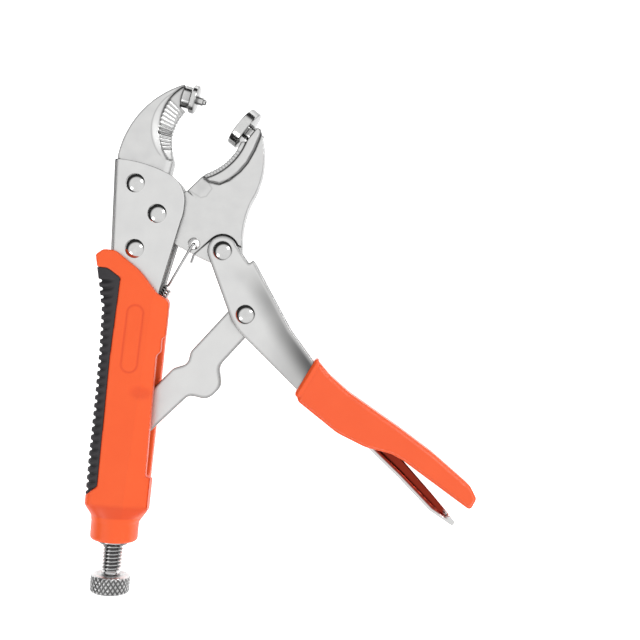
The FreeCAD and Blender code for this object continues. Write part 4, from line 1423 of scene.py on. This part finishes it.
@dataclass
class Lever(Assembly):
    """The folded lever, its link, dipped sleeve and release lever.

    Args:
        sheet_cell: Size of the lever's and the link's mesh cells.
        sheet_passes: Passes of smoothing on them.
        mouth: Middle of the sleeve's mouth.
        mouth_shade: Paints shade on the lever as it nears that place.
        fold: Path of the lever's folded back.
        fold_start: How far above and below the fold's first point its shade starts and is full.
        fold_shade: Paints shade on the lever as it nears its fold.
        fold_light: A painted highlight on the fold itself, taken away from that shade.
        release_cell: Size of the release lever's mesh cells.
        release_back: Path of the release lever's outer edge.
        release_rim: Width of the bright rim along that edge.
        trough_end: X where the painted reflection on the inner faces ends, and where it is full.
        sleeve_cell: Size of the sleeve's mesh cells.
        sleeve_passes: Passes of smoothing on it.
        sleeve_shade: Paints shade on the sleeve's sides.
        rim_top: Upper end of the sleeve's mouth.
        rim_foot: Its lower end.
        rim_width: Width of the bead round the mouth.
        rim_height: Height of that bead.
        lever_half: Half thickness of the lever.
        sleeve_wall: Least wall of the sleeve over the lever.
    """

    sheet_cell: float = 0.4
    sheet_passes: int = 4
    mouth: tuple[float, float] = (91.0, -68.0)
    mouth_shade: Fade = Fade(0.45, 34.0, 0.0)
    fold: tuple[tuple[float, float], ...] = (
        (54.6, -20.2), (56.9, -18.3), (77.6, -50.3), (96.5, -72.3), (133.0, -94.9),
    )
    fold_start: tuple[float, float] = (2.0, 18.0)
    fold_shade: Fade = Fade(0.58, 12.0, 2.6)
    fold_light: Fade = Fade(0.5, 2.4, 0.6)
    release_cell: float = 0.32
    release_back: tuple[tuple[float, float], ...] = (
        (87.0, -78.2), (98.0, -91.0), (112.0, -98.6), (118.9, -103.5), (135.8, -117.4), (152.0, -131.8),
        (163.4, -138.2),
    )
    release_rim: float = 1.1
    trough_end: tuple[float, float] = (161.5, 159.0)
    sleeve_cell: float = 0.5
    sleeve_passes: int = 6
    sleeve_shade: Fade = Fade(0.5, 0.55, 0.2)
    rim_top: tuple[float, float] = (91.0, -62.9)
    rim_foot: tuple[float, float] = (82.4, -80.2)
    rim_width: float = 2.0
    rim_height: float = 0.5
    lever_half: float = 6.65
    sleeve_wall: float = 0.9

    def build(self) -> None:
        """Builds the lever group."""
        for node, name, body in (
            ("lever_channel", "lever_plates", "lever"), ("toggle_link", "toggle_link_plate", "toggle_link"),
        ):
            sheet = self.moulded(node, name, self.sheet_cell, self.sheet_passes)
            Bench.smooth(sheet, degrees=60)
            Bench.paint(sheet, self._sheet_shade, fine=True)
            Bench.rim(sheet, rings=3, strength=1.0)
            self.finish(sheet, SATIN_PLATE, body, "plated_sheet", node)
        blade = self.moulded("release_lever", "release_blade", self.release_cell, 2)
        Bench.smooth(blade, degrees=60)
        # Paints a reflection of the orange sleeve, with shade under it, on the blade's inner faces.
        Bench.paint(blade, self._sleeve_reflection, fine=True)
        self.finish(blade, POLISHED_SHEET, "release_lever", "polished_sheet", "release_lever")
        for node in ("lever_pivot_rivet", "link_pivot_rivet", "release_pin"):
            dress(self.nodes[node], RIVET_STEEL)
        sleeve = self.moulded("lever_grip", "lever_sleeve", self.sleeve_cell, self.sleeve_passes)
        Bench.sculpt(sleeve, self._bead)
        Bench.smooth(sleeve, degrees=80)
        # Paints shade on the sleeve's sides, which turn away from the light.
        Bench.paint(sleeve, lambda _place, out: self.sleeve_shade.stain(abs(out.z)), fine=True)
        self.finish(sleeve, DIPPED_SLEEVE, "lever", "dipped_sleeve", "lever_grip")

    def _sheet_shade(self, place: Vector, _out: Vector) -> float:
        """Paints shade on the lever towards its folded back and its sleeve, with a painted highlight on the
        fold itself.

        Args:
            place: A point of the lever or the link.

        Returns:
            Its painted shade, with the painted highlight taken away.
        """
        x, y, _z = self.drawing.back(place)
        near = self.mouth_shade.stain(math.hypot(x - self.mouth[0], y - self.mouth[1]))
        back = from_path(x, y, self.fold)
        above, below = self.fold_start
        along = ease(y, self.fold[0][1] + above, self.fold[0][1] - below)
        return near + along * (self.fold_shade.stain(back) - self.fold_light.stain(back))

    def _sleeve_reflection(self, place: Vector, _out: Vector) -> float:
        """Paints the orange sleeve's reflection, darkened as shade under the sleeve, on the release lever's
        inner faces.

        Args:
            place: A point of the release lever.

        Returns:
            1 on them and 0 on the bright rim.
        """
        x, y, _z = self.drawing.back(place)
        inward = from_path(x, y, self.release_back)
        return ease(inward, self.release_rim, self.release_rim + 0.5) * ease(x, *self.trough_end)

    def _bead(self, place: Vector, out: Vector) -> Vector:
        """Raises the rolled rim round the sleeve's mouth.

        Args:
            place: A point of the sleeve.
            out: Its outward direction.

        Returns:
            Its new place.
        """
        x, y, z = self.drawing.back(place)
        if abs(z) < self.lever_half + self.sleeve_wall:
            return place
        away = from_segment(x, y, self.rim_top, self.rim_foot)
        lift = self.rim_height * ridge(away, 0.5 * self.rim_width, self.rim_width)
        lift -= 0.5 * self.rim_height * ridge(away, 1.35 * self.rim_width, 0.6 * self.rim_width)
        return place + out * lift * MM


@dataclass
class HandleGrip(Assembly):
    """The hard shell and the soft ribbed insert of the fixed handle.

    Args:
        shell_cell: Size of the shell's mesh cells.
        shell_passes: Passes of smoothing on it.
        insert_cell: Size of the insert's mesh cells.
        insert_passes: Passes of smoothing on it.
        face_half: Half thickness of the grip.
        relief_fade: The faces' relief starts and is full this far below them.
        paint_depth: Painted shade on the faces reaches down to this depth.
        side_shade: Paints shade on the shell's sides.
        panel: The two ends of the long panel's middle line.
        panel_radius: Radius of its round ends.
        panel_groove: Width and depth of the groove round it.
        panel_line: The painted shade in that groove.
        crease: Two points of the crease beside the link's opening.
        crease_slope: How steeply the face falls away beyond the crease.
        crease_foot_y: Lower end of the crease.
        crease_fade: How far above and below its top, and above its foot, the crease fades.
        dip: Middle of the shallow dip.
        dip_size: Its two half lengths.
        dip_depth: Its depth.
        dip_shade: Paints shade in it towards its middle.
        neck_slope: Where the shell starts and ends to slope to its neck.
        neck_top_y: Where the round neck starts.
        neck_radius: Its radius.
        neck_painted_shade: Painted shade on the slope.
        neck_fade: How far above and below the slope's start, and about its end, the painted shade fades.
        shoulder: Start and half width of the shoulder on the link's side.
        back_shoulder: The same on the insert's side.
        thinnest: Least squared share of the neck's radius at its sides.
        seam: Path of the seam between the shell and the insert.
        seam_line: The painted shade in the gap along it.
        rib_top_y: Place of the first groove between ribs.
        rib_start: Height over which the first groove deepens.
        rib_foot: Where the last grooves end and are full.
        rib_back_x: The insert's back.
        rib_pitch: Distance from rib to rib.
        rib_width: Width of a groove.
        rib_reach: How far the grooves run over the faces.
        rib_depth: Depth of a groove.
        rib_rise: How far a groove climbs on its way over the face.
        rib_fade: The grooves start and are full this far below the faces.
        rib_painted_shade: Painted shade in the grooves.
    """

    shell_cell: float = 0.55
    shell_passes: int = 5
    insert_cell: float = 0.36
    insert_passes: int = 3
    face_half: float = 12.0
    relief_fade: tuple[float, float] = (3.0, 0.8)
    paint_depth: float = 4.5
    side_shade: Fade = Fade(0.45, 0.55, 0.2)
    panel: tuple[tuple[float, float], tuple[float, float]] = ((3.15, -48.5), (2.25, -73.1))
    panel_radius: float = 3.85
    panel_groove: tuple[float, float] = (0.8, 0.22)
    panel_line: Line = Line(0.9, 0.55)
    crease: tuple[tuple[float, float], tuple[float, float]] = ((11.1, -42.1), (9.6, -68.1))
    crease_slope: float = 0.30
    crease_foot_y: float = -150.0
    crease_fade: tuple[float, float, float] = (6.0, 3.0, 10.0)
    dip: tuple[float, float] = (9.0, -86.0)
    dip_size: tuple[float, float] = (7.5, 4.5)
    dip_depth: float = 0.6
    dip_shade: Fade = Fade(0.30, 1.0, 0.3)
    neck_slope: tuple[float, float] = (-141.5, -147.5)
    neck_top_y: float = -150.3
    neck_radius: float = 11.5
    neck_painted_shade: float = 0.45
    neck_fade: tuple[float, float, float] = (1.5, 1.0, 0.4)
    shoulder: tuple[float, float] = (-142.6, 16.5)
    back_shoulder: tuple[float, float] = (-142.0, 14.1)
    thinnest: float = 0.04
    seam: tuple[tuple[float, float], ...] = ((-5.4, -32.3), (-7.2, -70.0), (-8.0, -132.4), (-13.4, -137.0))
    seam_line: Line = Line(0.7, 0.8)
    rib_top_y: float = -34.5
    rib_start: float = 1.5
    rib_foot: tuple[float, float] = (-136.5, -134.0)
    rib_back_x: float = -13.4
    rib_pitch: float = 3.85
    rib_width: float = 1.9
    rib_reach: float = 5.6
    rib_depth: float = 1.25
    rib_rise: float = 1.3
    rib_fade: tuple[float, float] = (5.0, 1.5)
    rib_painted_shade: float = 0.9

    def build(self) -> None:
        """Builds the shell and the insert."""
        shell = self.moulded("grip_shell", "handle_shell", self.shell_cell, self.shell_passes)
        Bench.sculpt(shell, self._shell_face)
        Bench.smooth(shell, degrees=80)
        Bench.paint(shell, self._shell_shade, fine=True)
        self.finish(shell, ORANGE_SHELL, "fixed_handle", "orange_shell", "grip_shell")
        insert = self.moulded("grip_insert", "handle_insert", self.insert_cell, self.insert_passes)
        Bench.sculpt(insert, self._insert_face)
        Bench.smooth(insert, degrees=80)
        Bench.paint(insert, self._insert_shade, fine=True)
        self.finish(insert, SOFT_INSERT, "fixed_handle", "soft_insert", "grip_insert")

    def _dip_share(self, x: float, y: float) -> float:
        """Gives 0 in the middle of the dip and 1 on its edge."""
        return math.hypot((x - self.dip[0]) / self.dip_size[0], (y - self.dip[1]) / self.dip_size[1])

    def _shell_face(self, place: Vector, _out: Vector) -> Vector:
        """Sinks the shell's two faces to their moulded relief.

        Args:
            place: A point of the shell.

        Returns:
            Its new place.
        """
        x, y, z = self.drawing.back(place)
        foot, top = self.relief_fade
        share = ease(abs(z), self.face_half - foot, self.face_half - top)
        width, depth = self.panel_groove
        sink = depth * ridge(from_segment(x, y, *self.panel), self.panel_radius, width)
        (x0, y0), (x1, y1) = self.crease
        crease_x = x0 + (x1 - x0) * (y - y0) / (y1 - y0)
        above, below, end = self.crease_fade
        stretch = ease(y, y0 + above, y0 - below) * ease(y, self.crease_foot_y, self.crease_foot_y + end)
        sink += self.crease_slope * max(x - crease_x, 0.0) * stretch
        sink += self.dip_depth * ease(self._dip_share(x, y), 1.0, 0.2)
        height = abs(z) - sink * share
        if y < self.neck_top_y:
            height = min(height, math.sqrt(max(self.neck_radius**2 - x * x, 0.0)))
        else:
            height *= self._shoulder(x, y) / self.face_half
        return self.drawing.at(x, y, math.copysign(height, z))

    def _shoulder(self, x: float, y: float) -> float:
        """Gives the shell's half thickness where it narrows to its round neck.

        Args:
            x: Across the handle.
            y: Along the handle.

        Returns:
            The half thickness at that place.
        """
        top, foot = self.neck_slope
        down = min(max((top - y) / (top - foot), 0.0), 1.0)
        start_y, wide = self.shoulder if x > 0.0 else self.back_shoulder
        narrowing = min(max((start_y - y) / (start_y - self.neck_top_y), 0.0), 1.0)
        across = min(abs(x) / (wide + (self.neck_radius - wide) * narrowing), 1.0)
        round_half = self.neck_radius * math.sqrt(max(1.0 - across * across, self.thinnest))
        return self.face_half + (round_half - self.face_half) * down

    def _shell_shade(self, place: Vector, out: Vector) -> float:
        """Paints shade in the shell's grooves and its dip, beside the insert, above the neck and on its
        sides.

        Args:
            place: A point of the shell.
            out: Its outward direction.

        Returns:
            Its stain.
        """
        x, y, z = self.drawing.back(place)
        amount = self.side_shade.stain(abs(out.z))
        if abs(z) < self.face_half - self.paint_depth:
            return amount
        amount += self.panel_line.stain(from_segment(x, y, *self.panel) - self.panel_radius)
        amount += self.dip_shade.stain(self._dip_share(x, y))
        amount += self.seam_line.stain(from_path(x, y, self.seam))
        top, foot = self.neck_slope
        above, below, about = self.neck_fade
        slope = ease(y, top + above, top - below) * ease(y, foot - about, foot + about)
        return min(amount + self.neck_painted_shade * slope, 1.0)

    def _rib_groove(self, x: float, y: float) -> float:
        """Gives how much of a groove between two ribs lies at a place of the insert's faces.

        Args:
            x: Across the handle.
            y: Along the handle.

        Returns:
            1 in a groove at the insert's back and 0 on a rib.
        """
        reach = min(max((x - self.rib_back_x) / self.rib_reach, 0.0), 1.0)
        line = y - self.rib_rise * reach * reach
        phase = ((line - self.rib_top_y) / self.rib_pitch + 0.5) % 1.0 - 0.5
        inside = ease(y, self.rib_top_y + self.rib_start, self.rib_top_y) * ease(y, *self.rib_foot)
        return ridge(phase * self.rib_pitch, 0.0, self.rib_width) * (1.0 - reach * reach) * inside

    def _insert_face(self, place: Vector, _out: Vector) -> Vector:
        """Runs the insert's grooves on from its back over its two faces.

        Args:
            place: A point of the insert.

        Returns:
            Its new place.
        """
        x, y, z = self.drawing.back(place)
        foot, top = self.rib_fade
        share = ease(abs(z), self.face_half - foot, self.face_half - top)
        sink = self.rib_depth * self._rib_groove(x, y) * share
        return self.drawing.at(x, y, z - math.copysign(sink, z))

    def _insert_shade(self, place: Vector, _out: Vector) -> float:
        """Paints shade in the grooves between the ribs."""
        x, y, _z = self.drawing.back(place)
        return self.rib_painted_shade * self._rib_groove(x, y)


def dress(node: bpy.types.Object, finish: Finish) -> None:
    """Gives a frame node a better finish.

    Args:
        node: The frame's node.
        finish: Its finish.
    """
    material = finish.material()
    if not node.data.materials:
        node.data.materials.append(material)
    for index in range(len(node.data.materials)):
        node.data.materials[index] = material


# ---------------------------------------------------------------- the studio
@dataclass(frozen=True)
class Softbox:
    """A square soft light.

    Args:
        name: Its name.
        place: Where it hangs, in row frame millimetres.
        size: Its side in millimetres.
        power: Its power in watts.
    """

    name: str
    place: tuple[float, float, float]
    size: float
    power: float

    def hang(self) -> None:
        """Hangs the light so that it points at the tool."""
        lamp = bpy.data.lights.new(self.name, "AREA")
        lamp.size = self.size * MM
        lamp.energy = self.power
        holder = bpy.data.objects.new(self.name, lamp)
        bpy.context.scene.collection.objects.link(holder)
        holder.location = Vector(self.place) * MM
        holder.rotation_euler = (-holder.location).to_track_quat("-Z", "Y").to_euler()


@dataclass
class Studio:
    """Plain floor, soft lights and the camera above the tool.

    Args:
        drawing: Where the drawing lies.
        view_centre: The point that the camera looks at.
        camera_height: Height of the camera over the mid-plane.
        camera_roll_deg: How far the camera is turned about its line of sight.
        view_deg: Width of its field of view.
        floor_size: Side of the floor.
        floor_drop: How far the floor lies under the tool.
        floor_tone: Brightness of the floor's colour.
        floor_roughness: Its roughness.
        floor_glow: Light that it gives off, so that it stays pale.
        sky_lean: Direction of the sky's brightest part.
        wall_top: How far up the dark walls end and the bright ceiling starts.
        wall_light: Brightness of the walls.
        ceiling_light: Brightness of the ceiling.
        sky_strength: Strength of the sky.
        softboxes: The soft lights.
    """

    drawing: Drawing
    view_centre: tuple[float, float] = (91.2, -44.3)
    camera_height: float = 488.0
    camera_roll_deg: float = 4.9
    view_deg: float = 35.5
    floor_size: float = 6000.0
    floor_drop: float = 0.2
    floor_tone: float = 0.9
    floor_roughness: float = 0.8
    floor_glow: float = 0.9
    sky_lean: tuple[float, float, float] = (0.16, -0.20, 1.0)
    wall_top: tuple[float, float] = (0.30, 0.52)
    wall_light: float = 0.03
    ceiling_light: float = 1.0
    sky_strength: float = 1.04
    softboxes: tuple[Softbox, ...] = (
        Softbox("key_light", (620.0, 460.0, 560.0), 260.0, 2.4),
        Softbox("fill_light", (-560.0, -520.0, 520.0), 320.0, 1.2),
    )

    def build(self) -> None:
        """Sets up floor, lights, sky and camera."""
        bpy.context.scene.view_settings.view_transform = "Standard"
        self._floor()
        self._sky()
        for softbox in self.softboxes:
            softbox.hang()
        self._camera()

    def _floor(self) -> None:
        """Lays a plain pale floor just under the tool."""
        Bench.clear()
        bpy.ops.mesh.primitive_plane_add(size=self.floor_size * MM, location=(0, 0, -self.floor_drop * MM))
        floor = Bench.name("floor")
        material = bpy.data.materials.new("pale_floor")
        material.use_nodes = True
        shader = material.node_tree.nodes["Principled BSDF"]
        shader.inputs["Base Color"].default_value = (*[self.floor_tone] * 3, 1.0)
        shader.inputs["Roughness"].default_value = self.floor_roughness
        shader.inputs["Emission Color"].default_value = (1.0, 1.0, 1.0, 1.0)
        shader.inputs["Emission Strength"].default_value = self.floor_glow
        floor.data.materials.append(material)

    def _sky(self) -> None:
        """Gives a bright even ceiling over dark walls; the walls reach higher on one side."""
        world = bpy.data.worlds.new("studio_sky")
        bpy.context.scene.world = world
        world.use_nodes = True
        nodes, links = world.node_tree.nodes, world.node_tree.links
        place = nodes.new("ShaderNodeTexCoord")
        lean = nodes.new("ShaderNodeVectorMath")
        lean.operation = "DOT_PRODUCT"
        lean.inputs[1].default_value = self.sky_lean
        links.new(place.outputs["Generated"], lean.inputs[0])
        ramp = nodes.new("ShaderNodeValToRGB")
        ramp.color_ramp.elements[0].position = self.wall_top[0]
        ramp.color_ramp.elements[0].color = (*[self.wall_light] * 3, 1.0)
        ramp.color_ramp.elements[1].position = self.wall_top[1]
        ramp.color_ramp.elements[1].color = (*[self.ceiling_light] * 3, 1.0)
        links.new(lean.outputs["Value"], ramp.inputs["Fac"])
        links.new(ramp.outputs["Color"], nodes["Background"].inputs["Color"])
        nodes["Background"].inputs["Strength"].default_value = self.sky_strength

    def _camera(self) -> None:
        """Hangs the camera straight above the middle of the view, turned a little."""
        lens = bpy.data.cameras.new("camera")
        lens.angle = math.radians(self.view_deg)
        camera = bpy.data.objects.new("camera", lens)
        bpy.context.scene.collection.objects.link(camera)
        spot = self.drawing.at(*self.view_centre)
        camera.location = (spot.x, spot.y, self.camera_height * MM + spot.z)
        camera.rotation_euler = (0.0, 0.0, math.radians(self.camera_roll_deg))
        bpy.context.scene.camera = camera


def main() -> None:
    """Builds every sub-assembly around the frame and reports it."""
    logging.basicConfig(level=logging.INFO, format="%(name)s: %(message)s")
    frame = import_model()
    drawing = Drawing.from_frame(frame["joints"], pivot_x=JAW_PIVOT[0])
    for assembly_class in (FixedHandle, HandleGrip, MovingJaw, Dies, Adjuster, JawSpring, Lever):
        assembly = assembly_class(frame["nodes"], frame["joints"], drawing)
        assembly.build()
        for piece in assembly.pieces:
            LOG.info("%s: %s, %d faces", assembly_class.__name__, piece.name, len(piece.data.polygons))
    Studio(drawing).build()


if __name__ == "__main__":
    main()
